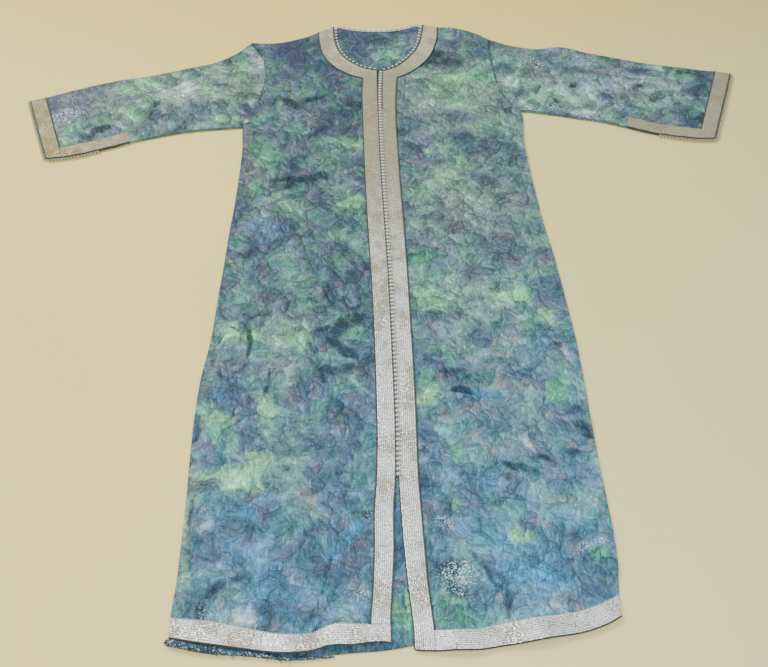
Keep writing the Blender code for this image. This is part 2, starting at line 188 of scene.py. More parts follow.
soft_light("light_overhead", place=(-2.0, 1.5, 2.7), toward=(0.0, 0.1, 0.0), size=1.2, power=120.0,
           colour=(1.0, 0.97, 0.92))
soft_light("light_viewer", place=(0.1, -1.3, 1.6), toward=(0.0, -0.25, 0.0), size=0.5, power=26.0,
           colour=(1.0, 0.98, 0.96))
world = bpy.data.worlds.new("room")
world.use_nodes = True
sky = world.node_tree.nodes["Background"].inputs
sky["Color"].default_value = (0.93, 0.96, 1.0, 1.0)
sky["Strength"].default_value = 0.6
bpy.context.scene.world = world

CAMERA_PLACE = (-0.0614, -1.2172, 1.312)
CAMERA_TILT = 38.81   # degrees up from straight down
CAMERA_TURN = -2.0
CAMERA_LENS = 47.44   # millimetres, on a 36 mm wide frame
camera = bpy.data.objects.new("camera", bpy.data.cameras.new("camera"))
camera.location = CAMERA_PLACE
camera.rotation_euler = (math.radians(CAMERA_TILT), 0.0, math.radians(CAMERA_TURN))
camera.data.lens = CAMERA_LENS
bpy.context.collection.objects.link(camera)
bpy.context.scene.camera = camera


# The back: one panel of thin brocade, marbled in slate blue, sea green and navy
# with a metal thread in the weft. It lies on the floor under everything, and
# shows at the neck, in the slit and as a dark rim below the front hem.
MM = 0.001
CENTRE = np.array([13.35, 708.49])   # the garment's middle on its own plan
WALL = 1.2            # thickness of the cloth
BACK_MID = 0.6        # height of the middle of the back's cloth

HEM = np.array([
    # x, back, front, ribbon
    (-317, 27, 32, 59), (-262, 14, 21, 51), (-209, 8, 12, 39), (-155, 0, 4, 28),
    (-128, 0, 6, 29), (-102, 1, 13, 40), (-72, 3, 14, 41), (-45, 4, 17, 41),
    (-18, 6, 15, 40), (8, 10, 5, 33), (35, 12, 2, 30), (60, 12, 1, 28),
    (95, 10, 1, 28), (125, 12, 5, 34), (165, 16, 9, 39), (206, 22, 15, 44),
    (250, 31, 23, 52), (278, 41, 33, 62), (293, 48, 41, 70),
], float)
SIDES = np.array([
    # y, left, right
    (20, -317, 288), (70, -316, 296), (120, -314, 303), (180, -313, 305),
    (260, -312, 304), (340, -313, 304), (430, -310, 305), (520, -301, 305),
    (560, -294, 304), (610, -293, 301), (700, -287, 296), (790, -282, 288),
    (880, -275, 283), (980, -271, 279), (1078, -271, 281), (1110, -273, 283),
], float)
# upper rows of each front: armhole, outer line of the ribbon, edge or neckline
TOP_LEFT = np.array([
    # arm_x, arm_y, ribbon_x, ribbon_y, neck_x, neck_y
    (-273, 1078, -34, 1092, -4, 1092),
    (-270, 1106, -34, 1150, -3.7, 1150),
    (-250, 1143, -33, 1193, -3, 1199),
    (-237, 1187, -31, 1226, -2, 1252),
    (-232, 1215, -51, 1235, -26, 1259),
    (-231, 1243, -76, 1253, -49, 1275),
    (-234, 1272, -98, 1279, -70, 1299),
    (-241, 1302, -114, 1312, -84, 1329),
    (-253, 1331, -121, 1351, -91, 1366),
    (-268, 1356, -124, 1391, -93, 1408),
], float)
TOP_RIGHT = np.array([
    # arm_x, arm_y, ribbon_x, ribbon_y, neck_x, neck_y
    (283, 1108, 31, 1092, 1.2, 1092),
    (270, 1126, 33, 1150, 3.2, 1150),
    (256, 1147, 36, 1193, 6.5, 1199),
    (245, 1182, 39, 1226, 11, 1249),
    (242, 1213, 61, 1238, 34, 1259),
    (240, 1243, 87, 1262, 58, 1281),
    (239, 1273, 108, 1290, 78, 1309),
    (239, 1302, 122, 1324, 92, 1340),
    (240, 1329, 131, 1362, 100, 1374),
    (242, 1352, 135, 1400, 105, 1409),
], float)
BACK_NECK = np.array([
    # x, y
    (-93, 1408), (-80, 1411), (-62, 1405), (-40, 1399), (-12, 1395),
    (20, 1394), (46, 1397), (68, 1403), (88, 1411), (105, 1409),
], float)
# sink of each shoulder seam below a straight line, at its middle
SHOULDER_DIP = {-1: 16.0, 1: -15.0}


def through(rows, marks, at):
    """Rows of values known at marks, read at other places: a cubic from each
    mark to the next, with the slope that its neighbours give."""
    rows = np.asarray(rows, float)
    marks = np.asarray(marks, float)
    slope = np.gradient(rows, marks, axis=0)
    at = np.clip(at, marks[0], marks[-1])
    k = np.clip(np.searchsorted(marks, at) - 1, 0, len(marks) - 2)
    flat = (-1,) + (1,) * (rows.ndim - 1)
    h = (marks[k + 1] - marks[k]).reshape(flat)
    t = ((at - marks[k]) / (marks[k + 1] - marks[k])).reshape(flat)
    return ((2 * t ** 3 - 3 * t ** 2 + 1) * rows[k] + (t ** 3 - 2 * t ** 2 + t) * h * slope[k]
            + (3 * t ** 2 - 2 * t ** 3) * rows[k + 1] + (t ** 3 - t ** 2) * h * slope[k + 1])


def follow(table, column, at):
    """One column of a table at any places in its first column."""
    at = np.asarray(at, float)
    return through(table[:, column], table[:, 0], at.ravel()).reshape(at.shape)


def run_of(points):
    """Distance along a line of points from its first one."""
    steps = np.linalg.norm(np.diff(points, axis=0), axis=1)
    return np.concatenate([[0.0], np.cumsum(steps)])


def evenly(points, count):
    """A line of points read at even distances, on a smooth curve."""
    run = run_of(points)
    return through(points, run, np.linspace(0, run[-1], count))


def strokes(table, x, y):
    """Soft strokes, each a line from one place to another: the strongest one's
    share at a place, less toward its ends, and a bell over the distance away."""
    share = np.zeros_like(x)
    for x0, y0, x1, y1, width, strength in table:
        span = np.array([x1 - x0, y1 - y0], float)
        t = np.clip(((x - x0) * span[0] + (y - y0) * span[1]) / max(span @ span, 1e-9), 0, 1)
        away = np.hypot(x - x0 - t * span[0], y - y0 - t * span[1]) / width
        taper = 1 - 0.5 * np.abs(2 * t - 1) ** 3
        share = np.maximum(share, strength * taper * np.exp(-0.26 * away ** 2))
    return share


LATTICE = 256         # places of the random lattice each way
LATTICE_START = (100, 20)   # its place at the plan's origin


def crinkle(x, y, size, seed):
    """Soft random heights from -1 to 1: seeded values on a lattice of a given
    size, joined by smooth steps both ways."""
    lattice = np.random.default_rng(seed).uniform(-1, 1, (LATTICE, LATTICE))
    u = x / size + LATTICE_START[0]
    v = y / size + LATTICE_START[1]
    i = np.floor(u).astype(int)
    j = np.floor(v).astype(int)
    s = u - i
    t = v - j
    s = s * s * (3 - 2 * s)
    t = t * t * (3 - 2 * t)

    def at(a, b):
        """The lattice's values, which repeat after its last place."""
        return lattice[a % LATTICE, b % LATTICE]

    return ((at(i, j) * (1 - s) + at(i + 1, j) * s) * (1 - t)
            + (at(i, j + 1) * (1 - s) + at(i + 1, j + 1) * s) * t)


def facing(grid):
    """Unit normals of a grid of points: the cross product of its two slopes,
    turned so that the first third of the columns faces up."""
    n = np.cross(np.gradient(grid, axis=0), np.gradient(grid, axis=1))
    n /= np.maximum(np.linalg.norm(n, axis=2, keepdims=True), 1e-9)
    return n * np.sign(n[:, :max(grid.shape[1] // 3, 1), 2].sum())


def piece(name, points, faces, finish, masks=None, uv=None, sharp=50.0):
    """An object from points in millimetres and faces, all of one corner count
    or a list of such arrays, with attributes and a UV map for each point."""
    groups = faces if isinstance(faces, list) else [faces]
    used, back = np.unique(np.concatenate([g.ravel() for g in groups]), return_inverse=True)
    placed = (points - np.array([*CENTRE, 0.0])) * MM
    mesh = bpy.data.meshes.new(name)
    corners = [np.full(len(g), g.shape[1]) for g in groups]
    totals = np.concatenate(corners)
    starts = np.concatenate([[0], np.cumsum(totals)[:-1]])
    mesh.vertices.add(len(used))
    mesh.vertices.foreach_set("co", placed[used].astype(np.float32).ravel())
    mesh.loops.add(len(back))
    mesh.loops.foreach_set("vertex_index", back.astype(np.int32).ravel())
    mesh.polygons.add(len(totals))
    mesh.polygons.foreach_set("loop_start", starts.astype(np.int32))
    mesh.update(calc_edges=True)
    for word, values in (masks or {}).items():
        mesh.attributes.new(word, "FLOAT", "POINT").data.foreach_set(
            "value", values[used].astype(np.float32))
    if uv is not None:
        layer = mesh.uv_layers.new(name="cloth")
        layer.data.foreach_set("uv", uv[used][back.ravel()].astype(np.float32).ravel())
    mesh.validate()
    mesh.shade_smooth()
    mesh.set_sharp_from_angle(angle=math.radians(sharp))
    mesh.materials.append(finish)
    made = bpy.data.objects.new(name, mesh)
    bpy.context.collection.objects.link(made)
    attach(made, "root")
    return made


def slab(name, over, under, finish, masks=None, uv=None, shut=None):
    """A closed wall between two grids of points, over and under, with strips
    round its rim. From row shut on, the last column is joined to the first."""
    rows, columns = over.shape[:2]
    count = rows * columns
    top = np.arange(count).reshape(rows, columns)
    if shut is not None:
        top[shut:, -1] = top[shut:, 0]
    low = top + count
    open_rows = slice(None) if shut is None else slice(0, shut + 1)
    first = np.cross(over[1, 0] - over[0, 0], over[0, 1] - over[0, 0])
    up = first @ (over[0, 0] - under[0, 0]) > 0

    def strip(a, b, turn):
        """Faces between two lines of corners."""
        quads = np.stack([a[:-1], a[1:], b[1:], b[:-1]], -1)
        return quads[:, ::-1] if turn else quads

    def sheet(g, turn):
        """Faces of a whole grid of corners."""
        quads = np.stack([g[:-1, :-1], g[1:, :-1], g[1:, 1:], g[:-1, 1:]], -1).reshape(-1, 4)
        return quads[:, ::-1] if turn else quads

    faces = np.concatenate([
        sheet(top, not up), sheet(low, up),
        strip(top[0], low[0], up), strip(top[-1], low[-1], not up),
        strip(top[open_rows, 0], low[open_rows, 0], not up),
        strip(top[open_rows, -1], low[open_rows, -1], up)])
    points = np.concatenate([over.reshape(-1, 3), under.reshape(-1, 3)])
    masks = {k: np.tile(v.ravel(), 2) for k, v in (masks or {}).items()}
    uv = None if uv is None else np.tile(uv.reshape(-1, 2), (2, 1))
    return piece(name, points, faces, finish, masks, uv)


# the listed colours, some of them painted light and shade as well: the darkest teal and the navy also paint
# shade in creases, folds and seams, the pale mint also paints highlights on ridges, and the shine paints
# glints
COLOURS_AND_LIGHT = ("pale", "lime", "green", "deep_and_shade", "ink_and_shade", "azure", "dusk", "frost_and_highlight", "shine")


def brocade_finish():
    """Marbled brocade: clouds of slate and sea green, dyed patches with ragged
    edges, pale and dark veins that swirl, and painted light and shade: shade in
    its creases and folds, highlights on their ridges, glints of the metal thread,
    and a cool sheen toward the hem."""
    made, m, sockets = new_material("brocade", sheen=0.05)
    sockets["Specular IOR Level"].default_value = 0.3
    place = m.node("ShaderNodeTexCoord", out="Object")
    x, y = place.xyz()[:2]

    def vector(operation, first, second, third=(0.0, 0.0, 0.0)):
        """A Vector Math node on two vectors or on three."""
        return m.node("ShaderNodeVectorMath", {"operation": operation}, {0: first, 1: second, 2: third})

    def shifted(points, by, amount):
        """Points moved by a colour's difference from grey, times an amount."""
        centred = vector("SUBTRACT", by, (0.5, 0.5, 0.5))
        return vector("MULTIPLY_ADD", centred, (amount, amount, 0.0), points)

    swirl = shifted(place, place.noise(11.0, 3.0, 0.55, "Color"), 0.06)
    eddy = shifted(swirl, place.noise(48.0, 2.0, 0.55, "Color"), 0.008)
    drawn = vector("MULTIPLY", place, (1.0, 0.25, 1.0))
    cloud = swirl.noise(13.0, 3.0, 0.55)
    hue = swirl.noise(24.0, 3.0, 0.55)
    blot = eddy.noise(36.0, 3.0, 0.6)
    speck = eddy.noise(105.0, 4.0, 0.62)
    streak = drawn.noise(330.0, 2.0, 0.6)
    grain = place.noise(520.0, 2.0, 0.6)

    # petals, each with its own chances and its own way for the lines in it
    petals = {"Vector": eddy, "Scale": 52.0}
    petal = m.node("ShaderNodeTexVoronoi", {"feature": "F1"}, petals, out="Color")
    bright, lean, odd = petal.xyz()
    rim = m.node("ShaderNodeTexVoronoi", {"feature": "DISTANCE_TO_EDGE"}, petals)
    aside_x, aside_y = vector("SUBTRACT", eddy, petal.also("Position")).xyz()[:2]
    angle = lean * 6.283   # a full turn
    cosine = m.maths("COSINE", angle)
    sine = m.maths("SINE", angle)
    along = aside_y * cosine - aside_x * sine
    across = aside_x * cosine + aside_y * sine + 25.0 * along * along
    ruled = m.node("ShaderNodeCombineXYZ", {}, {0: across, 1: 0.2 * along, 2: odd})
    hatch = ruled.noise(330.0, 2.0, 0.6)
    fold = m.node("ShaderNodeTexVoronoi", {"feature": "DISTANCE_TO_EDGE"}, {"Vector": swirl, "Scale": 26.0})

    def dye_and_light(word):
        """The share of one listed patch of colour or of painted light and shade."""
        return m.node("ShaderNodeAttribute", {"attribute_name": word}, out="Fac")

    def patch(word, ragged=1.0):
        """Patches of a listed colour or of painted light and shade, whose
        edges follow blots and petals.
        """
        rough_edge = 1.0 + ragged * (1.4 * (blot - 0.5) + 0.6 * (bright - 0.5))
        return (dye_and_light(word) * rough_edge).between(0.1, 0.85)

    tone = (hue + 0.16 * (lean - 0.5)).between(0.42, 0.58).mix(rgb(80, 97, 118), rgb(66, 112, 106))
    tone = ((cloud + 0.16 * (odd - 0.5)).between(0.5, 0.62) * 0.6).mix(tone, rgb(92, 130, 108))
    tone = ((cloud - 0.16 * (lean - 0.5)).between(0.5, 0.38) * 0.7).mix(tone, rgb(66, 84, 110))
    # painted cool sheen: the cloth turns bluer toward the hem
    tone = (y.between(0.15, -0.6) * 0.45).mix(tone, rgb(54, 114, 142))
    tone = ((hue - 0.16 * (odd - 0.5)).between(0.46, 0.32) * 0.5).mix(tone, rgb(104, 103, 116))
    tone = (patch("pale", 0.6) * 0.62).mix(tone, rgb(128, 160, 134))
    tone = (patch("dusk") * 0.75).mix(tone, rgb(104, 98, 106))
    tone = (patch("azure") * 0.85).mix(tone, rgb(52, 118, 162))
    tone = (patch("green", 1.3) * 0.75).mix(tone, rgb(66, 140, 106))
    tone = (patch("lime", 1.3) * 0.85).mix(tone, rgb(106, 168, 124))
    tone = (patch("frost_and_highlight") * 0.7).mix(tone, rgb(164, 188, 200))
    tone = (patch("ink_and_shade") * 0.85).mix(tone, rgb(48, 60, 90))
    tone = (patch("deep_and_shade", 1.5) * 0.85).mix(tone, rgb(8, 38, 52))

    # stops of brightness, over the clouds and lines and from place to place; in the
    # last two terms the right front is a little lighter and, as a painted sheen,
    # lighter still toward the hem, and the left front is darker above the waist
    stops = (2.2 * (cloud - 0.5) + 1.8 * (blot - 0.5) + 1.9 * (speck - 0.5) + 1.3 * (streak - 0.5)
             + 2.5 * (hatch - 0.5) + 1.3 * (grain - 0.5) + 0.6 * (bright - 0.5)
             + x.between(0.0, 0.1) * (0.1 + 0.2 * y.between(0.15, -0.3))
             - (x.between(0.0, -0.1) - x.between(-0.27, -0.33)) * y.between(-0.2, 0.0) * 0.16)
    # painted glints: fine specks of the metal thread made brighter
    spark = drawn.noise(520.0, 2.0, 0.7).between(0.5, 0.72)
    light = 2.0 ** (stops + 0.7 * spark)
    tone = m.node("ShaderNodeVectorMath", {"operation": "SCALE"}, {0: tone, "Scale": light})
    # painted shade: dark lines along the petals' sunken edges and along the fold lines of the crinkle,
    # where the relief set below is lowest
    tone = (rim.between(0.07, 0.0) * blot.between(0.56, 0.42) * 0.5).mix(tone, rgb(16, 38, 52))
    tone = (fold.between(0.035, 0.0) * cloud.between(0.56, 0.44) * 0.5).mix(tone, rgb(14, 34, 46))

    # painted glints: white specks where the listed shine strokes lie, many of them on crease ridges
    shine = dye_and_light("shine")
    dots = place.noise(370.0, 2.0, 0.7).between(0.53, 0.65)
    glint = dots * (shine + 1.2 * shine * (blot - 0.5)).between(0.1, 0.8)
    tone = glint.mix(tone, rgb(226, 244, 255))

    height = fold.between(0.0, 0.35) + 0.8 * rim.between(0.0, 0.3) + 0.5 * speck + 0.2 * hatch
    give(m, sockets, Base_Color=tone, Roughness=0.52 - 0.25 * glint, Metallic=0.3 * speck,
         Normal=height.bump(0.0045, 0.5))
    return made


brocade = brocade_finish()

BACK_COLOURS_AND_LIGHT = {
    "green": [(12, 1330, 20, 1286, 12, 0.45), (4, 30, 2, 90, 14, 0.9)],
    "lime": [(10, 50, 4, 74, 10, 0.7), (22, 1296, 32, 1292, 7, 0.4)],
    "azure": [(0, 120, -2, 250, 12, 0.5), (-60, 1340, -40, 1310, 12, 0.3)],
    "pale": [(-40, 1310, 60, 1310, 34, 0.3)],
    "ink_and_shade": [(-1, 130, -3, 260, 8, 0.6), (-84, 1380, -30, 1375, 14, 0.6)],
    "deep_and_shade": [(-317, 14, -128, -6, 14, 0.7), (-128, -4, 30, 4, 12, 0.5), (-60, 1350, -72, 1310, 6, 0.4)],
    "frost_and_highlight": [(-40, 1345, 20, 1362, 4, 0.4), (40, 1340, 70, 1352, 4, 0.4)],
    "shine": [(-310, 18, -150, 0, 4, 0.4), (-20, 1340, 50, 1345, 8, 0.2)],
}


def masks_of(tables, grid):
    """The share of every listed colour and of the painted light and shade at the
    points of a grid, which are first moved a little each way on the plan, so
    that the strokes' edges wander."""
    x = grid[..., 0]
    y = grid[..., 1]
    moved_x = x + 7 * crinkle(x, y, 44, 5) + 4 * crinkle(x, y, 16, 6)
    moved_y = y + 7 * crinkle(x, y, 44, 7) + 4 * crinkle(x, y, 16, 8)
    return {word: strokes(tables.get(word, []), moved_x, moved_y) for word in COLOURS_AND_LIGHT}


def panel(name, middle, masks, shut=None):
    """A piece of brocade: half the wall's thickness each way from its middle."""
    half = facing(middle) * WALL / 2
    return slab(name, middle + half, middle - half, brocade, masks=masks, shut=shut)


def shoulder_line(side, top, count):
    """A shoulder seam from the armhole to the neck ribbon's outer line: straight
    but for a parabola's sink."""
    ax, ay, rx, ry = top[-1, :4]
    t = np.linspace(0, 1, count)
    return np.stack([ax + (rx - ax) * t, ay + (ry - ay) * t - SHOULDER_DIP[side] * 4 * t * (1 - t)], 1)


def back_grid(rows, columns):
    """Plan of the back: a patch filled in between four curves, hem, sides and
    top edge, each point the sum of both straight blends less the corners'."""
    s = np.linspace(0, 1, columns)[None, :, None]
    t = np.linspace(0, 1, rows)[:, None, None]
    hem_x = np.linspace(HEM[0, 0], HEM[-1, 0], columns)
    hem = np.stack([hem_x, follow(HEM, 1, hem_x)], 1)
    sides = []
    for k, top in ((1, TOP_LEFT), (2, TOP_RIGHT)):
        y = np.linspace(60, 1040, 15)
        lower = np.stack([follow(SIDES, k, y), y], 1)
        foot = hem[[0 if k == 1 else -1]]
        sides.append(evenly(np.concatenate([foot, lower, top[:, :2]]), rows))
    left, right = sides
    upper = np.concatenate([shoulder_line(-1, TOP_LEFT, 8), BACK_NECK,
                            shoulder_line(1, TOP_RIGHT, 8)[::-1]])
    run = run_of(upper)
    at = np.linspace(0, run[-1], columns)
    top = np.stack([np.interp(at, run, upper[:, 0]), np.interp(at, run, upper[:, 1])], 1)
    blend = (1 - t) * hem[None] + t * top[None] + (1 - s) * left[:, None] + s * right[:, None]
    corners = (1 - s) * (1 - t) * hem[0] + s * (1 - t) * hem[-1] + (1 - s) * t * top[0] + s * t * top[-1]
    return blend - corners


plan = back_grid(230, 110)
# the neck's free stretch lies in low creases that point at the collar
ruck = strokes([(-70, 1340, -10, 1300, 30, 1.0), (10, 1300, 80, 1345, 30, 1.0)], plan[..., 0], plan[..., 1])
ruck *= 0.5 + 0.5 * crinkle(plan[..., 0], plan[..., 1], 22, 3)
back_mid = np.concatenate([plan, (BACK_MID + ruck)[..., None]], 2)
back = panel("back_panel", back_mid, masks_of(BACK_COLOURS_AND_LIGHT, plan))
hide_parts("back")


# The fronts: two panels of the same brocade, sewn to the back at the shoulders
# and sides. They lie on it in low swells, with the creases of cloth that was
# folded, and their edges nearly meet under the ribbons.
FRONT_MID = 2.15      # heights of the middle of a front's cloth
SLEEVE_MID = 3.25     # and of a sleeve's upper layer
CLEAR = 0.35          # air between a ribbon and its cloth
RIBBON_WIDTH = 30.0
HALVES = ((-1, "left"), (1, "right"))
# width of the front ribbons, which draw in toward the hem
DRAWN_WIDTH = np.array([
    # y, left, right
    (20, 25.5, 25), (60, 25, 26), (100, 26, 27), (140, 26.5, 28), (300, 27, 28.3),
    (560, 27.5, 28.5), (800, 30, 30),
], float)
STRIPS = 9            # strips of a front from its side to its ribbon, and of an armhole
STRIP_COLUMNS = 8     # columns of a cloth's grid under a ribbon along its edge
ROW_PITCH = 3.2       # distance of a grid's rows
RIBBON_ROW_PITCH = 4.3

FRONT_EDGES = np.array([
    # y, left, right
    (10, -19.5, 11.8), (40, -22, 10.4), (60, -23.5, 9.4), (80, -18.5, 8.2), (95, -15.5, 7),
    (130, -12.3, 4.9), (170, -11.2, 3.8), (210, -9.6, 2.6), (260, -5.2, 1.6), (310, -2, 2.5),
    (380, -0.5, 4), (450, 0, 5), (570, 0.5, 5), (700, 0, 4.5), (800, -1.5, 3),
    (900, -3, 1.5), (1030, -4, 1), (1110, -4, 1.5), (1160, -3.5, 3.5), (1210, -3, 7.5),
    (1252, -2, 11),
], float)
# heights of a front's rows at its side and at its edge
ROWS = np.array([
    (112, 92), (170, 150), (236, 212), (305, 268), (380, 345), (460, 430), (540, 515),
    (620, 600), (700, 685), (780, 770), (860, 855), (940, 940), (1010, 1020),
], float)
CORNER_ROW = 18       # where the front edge and the neckline meet
CORNER_HEIGHT = 1252
ARMPIT_ROW = 15

# the low swells of the laid cloth, turned by degrees
SWELLS = [
    # x, y, length, width, turn, height
    (-152, 12, 60, 44, 95, 7.0), (-78, 52, 75, 26, 62, 6.5), (-250, 60, 90, 46, 100, 3.5),
    (-196, 250, 190, 60, 84, 4.0), (-110, 420, 200, 52, 97, 3.2), (-250, 560, 180, 48, 82, 3.0),
    (-150, 760, 170, 60, 104, 4.2), (-205, 980, 150, 52, 58, 4.5), (-95, 1110, 110, 46, 28, 3.6),
    (-185, 1190, 110, 50, 60, 5.0), (-195, 1310, 90, 40, 12, 3.5), (66, 14, 62, 40, 92, 6.0),
    (180, 30, 80, 44, 104, 6.5), (262, 90, 110, 36, 96, 3.4), (110, 230, 190, 60, 92, 4.2),
    (225, 390, 200, 56, 86, 3.6), (100, 560, 180, 50, 80, 3.0), (205, 720, 200, 60, 95, 4.5),
    (120, 930, 170, 54, 100, 3.6), (215, 1030, 140, 50, 120, 4.6), (120, 1150, 110, 44, 150, 3.8),
    (185, 1260, 110, 46, 110, 4.6), (-300, 1225, 95, 52, 100, 7.0), (-395, 1160, 120, 46, 14, 4.0),
    (-520, 1150, 130, 44, 22, 4.5), (-640, 1110, 60, 46, 104, 2.6), (300, 1215, 100, 56, 84, 7.5),
    (410, 1200, 130, 48, 164, 4.2), (540, 1160, 140, 46, 158, 4.6), (660, 1130, 60, 48, 72, 2.6),
]
# creases pressed or dragged into the cloth: a ridge where height is above zero,
# and a furrow between two low banks where it is below
CREASES = [
    # x0, y0, x1, y1, width, height
    (-212, 925, -164, 916, 9, -2.2), (-166, 917, -104, 936, 8, -2.0), (-186, 912, -166, 890, 8, -1.4),
    (-198, 1166, -158, 1144, 9, -1.8), (-160, 1148, -114, 1164, 8, -1.6), (-92, 1144, -40, 1130, 8, -1.4),
    (-226, 812, -160, 842, 4, -0.9), (-196, 1086, -150, 1054, 4, -1.0), (-250, 1010, -215, 940, 9, -1.2),
    (-121, 477, -92, 459, 8, -1.8), (-96, 458, -54, 484, 7, -2.0), (-92, 541, -72, 573, 10, -1.8),
    (-76, 572, -40, 588, 9, -1.4), (-146, 623, -112, 612, 7, -1.0), (-116, 656, -96, 618, 7, -1.2),
    (-267, 557, -238, 544, 4, -1.2), (-238, 546, -241, 492, 4, -1.4), (-200, 486, -196, 428, 4, -1.3),
    (-206, 436, -197, 352, 6, 1.6), (-96, 138, -118, 60, 7, -3.2), (-116, 66, -142, 22, 7, -2.8),
    (-280, 62, -270, 96, 8, -1.8), (-272, 94, -232, 104, 8, -1.4), (-48, 190, -110, 126, 10, 2.0),
    (-290, 330, -262, 240, 9, 1.2), (-170, 300, -120, 220, 10, -1.2), (-250, 700, -205, 640, 8, -1.0),
    (-130, 770, -70, 735, 8, -1.2), (-240, 1180, -200, 1240, 9, 1.6), (-150, 1330, -120, 1265, 8, -1.2),
    (-250, 1300, -180, 1290, 8, -1.2), (-90, 330, -60, 260, 8, 1.0), (-220, 170, -170, 130, 9, -1.2),
    (73, 463, 128, 460, 7, -1.6), (84, 427, 132, 416, 8, -2.0), (108, 441, 140, 452, 6, -1.0),
    (160, 288, 209, 269, 8, -2.2), (208, 306, 236, 286, 6, -1.2), (88, 138, 124, 100, 7, -2.6),
    (122, 102, 142, 68, 7, -2.4), (138, 74, 146, 32, 7, -2.0), (292, 355, 304, 322, 6, -1.6),
    (272, 372, 296, 392, 6, -1.0), (254, 128, 294, 160, 6, 1.8), (50, 194, 76, 172, 5, 1.6),
    (36, 118, 92, 96, 8, -1.8), (92, 1282, 180, 1258, 9, -1.8), (104, 1302, 150, 1286, 8, -1.2),
    (150, 1220, 222, 1170, 9, -1.4), (190, 1130, 262, 1120, 8, -1.5), (170, 1090, 250, 1110, 8, -1.2),
    (130, 1102, 186, 1080, 9, -1.2), (140, 1052, 182, 1004, 9, -1.4), (54, 1010, 96, 984, 7, -0.9),
    (120, 900, 190, 880, 7, -1.0), (40, 730, 90, 700, 8, -1.4), (150, 700, 210, 660, 9, -1.2),
    (230, 820, 262, 740, 9, 1.3), (96, 766, 104, 700, 7, 1.1), (180, 560, 240, 520, 8, -1.2),
    (260, 520, 285, 440, 8, 1.1), (60, 330, 66, 260, 8, 1.0), (120, 340, 180, 330, 8, -1.0),
    (196, 130, 236, 90, 10, -1.4), (216, 232, 256, 214, 7, -1.0),
]


def loose(x, y):
    """How freely the cloth lies: little along the stiff front edges, from which
    it grows by a smooth step outward and by a straight one above the neck's
    corner."""
    near = np.clip((np.abs(x) - 22) / 60, 0, 1)
    free = 0.12 + 0.88 * near * near * (3 - 2 * near)
    above = np.minimum((y - CORNER_HEIGHT) / 60, 0.5)
    return np.where(y > CORNER_HEIGHT, np.maximum(free, above), free)


def swells(x, y):
    """Height of the low swells: bells over ellipses, each turned its own way."""
    rise = np.zeros_like(x)
    for cx, cy, length, width, turn, height in SWELLS:
        a = math.radians(turn)
        along = ((x - cx) * math.cos(a) + (y - cy) * math.sin(a)) / length
        across = ((y - cy) * math.cos(a) - (x - cx) * math.sin(a)) / width
        rise += height * np.exp(-1.6 * (along ** 2 + across ** 2) - 0.5 * along ** 4)
    return rise


def creases(table, x, y):
    """Height of the creases: across its line a ridge is a bell, and a furrow is
    nought at the line, highest a width away and gone soon after."""
    rise = np.zeros_like(x)
    for x0, y0, x1, y1, width, height in table:
        length = math.hypot(x1 - x0, y1 - y0)
        ex = (x1 - x0) / length
        ey = (y1 - y0) / length
        along = ((x - (x0 + x1) / 2) * ex + (y - (y0 + y1) / 2) * ey) / (0.6 * length)
        across = ((y - y0) * ex - (x - x0) * ey) / width
        fade = np.exp(-np.minimum(along ** 4, 50))
        bell = np.exp(-np.minimum(across ** 2, 50))
        shape = bell if height > 0 else -2.7 * across ** 2 * bell
        rise += height * shape * fade
    return rise


def crumple(x, y):
    """Small random rumples: two sizes of soft ridges."""
    wide = 1 - 2 * np.abs(crinkle(x, y, 34, 11))
    fine = 1 - 2 * np.abs(crinkle(x, y, 13, 12))
    return 0.55 * np.maximum(wide, 0) + 0.28 * np.maximum(fine, 0)


def lay(x, y, ease=1.0):
    """Height of the laid cloth above its plain level: swells, creases, rumples.
    ease is below 1 where a ribbon sewn on top holds the cloth flatter."""
    free = loose(x, y)
    return swells(x, y) * free + ease * (creases(CREASES, x, y) + crumple(x, y)) * free


def even_steps(low, high, pitch):
    """Places from low up to high, about a pitch apart, with both ends."""
    return np.linspace(low, high, max(int(round((high - low) / pitch)), 2) + 1)


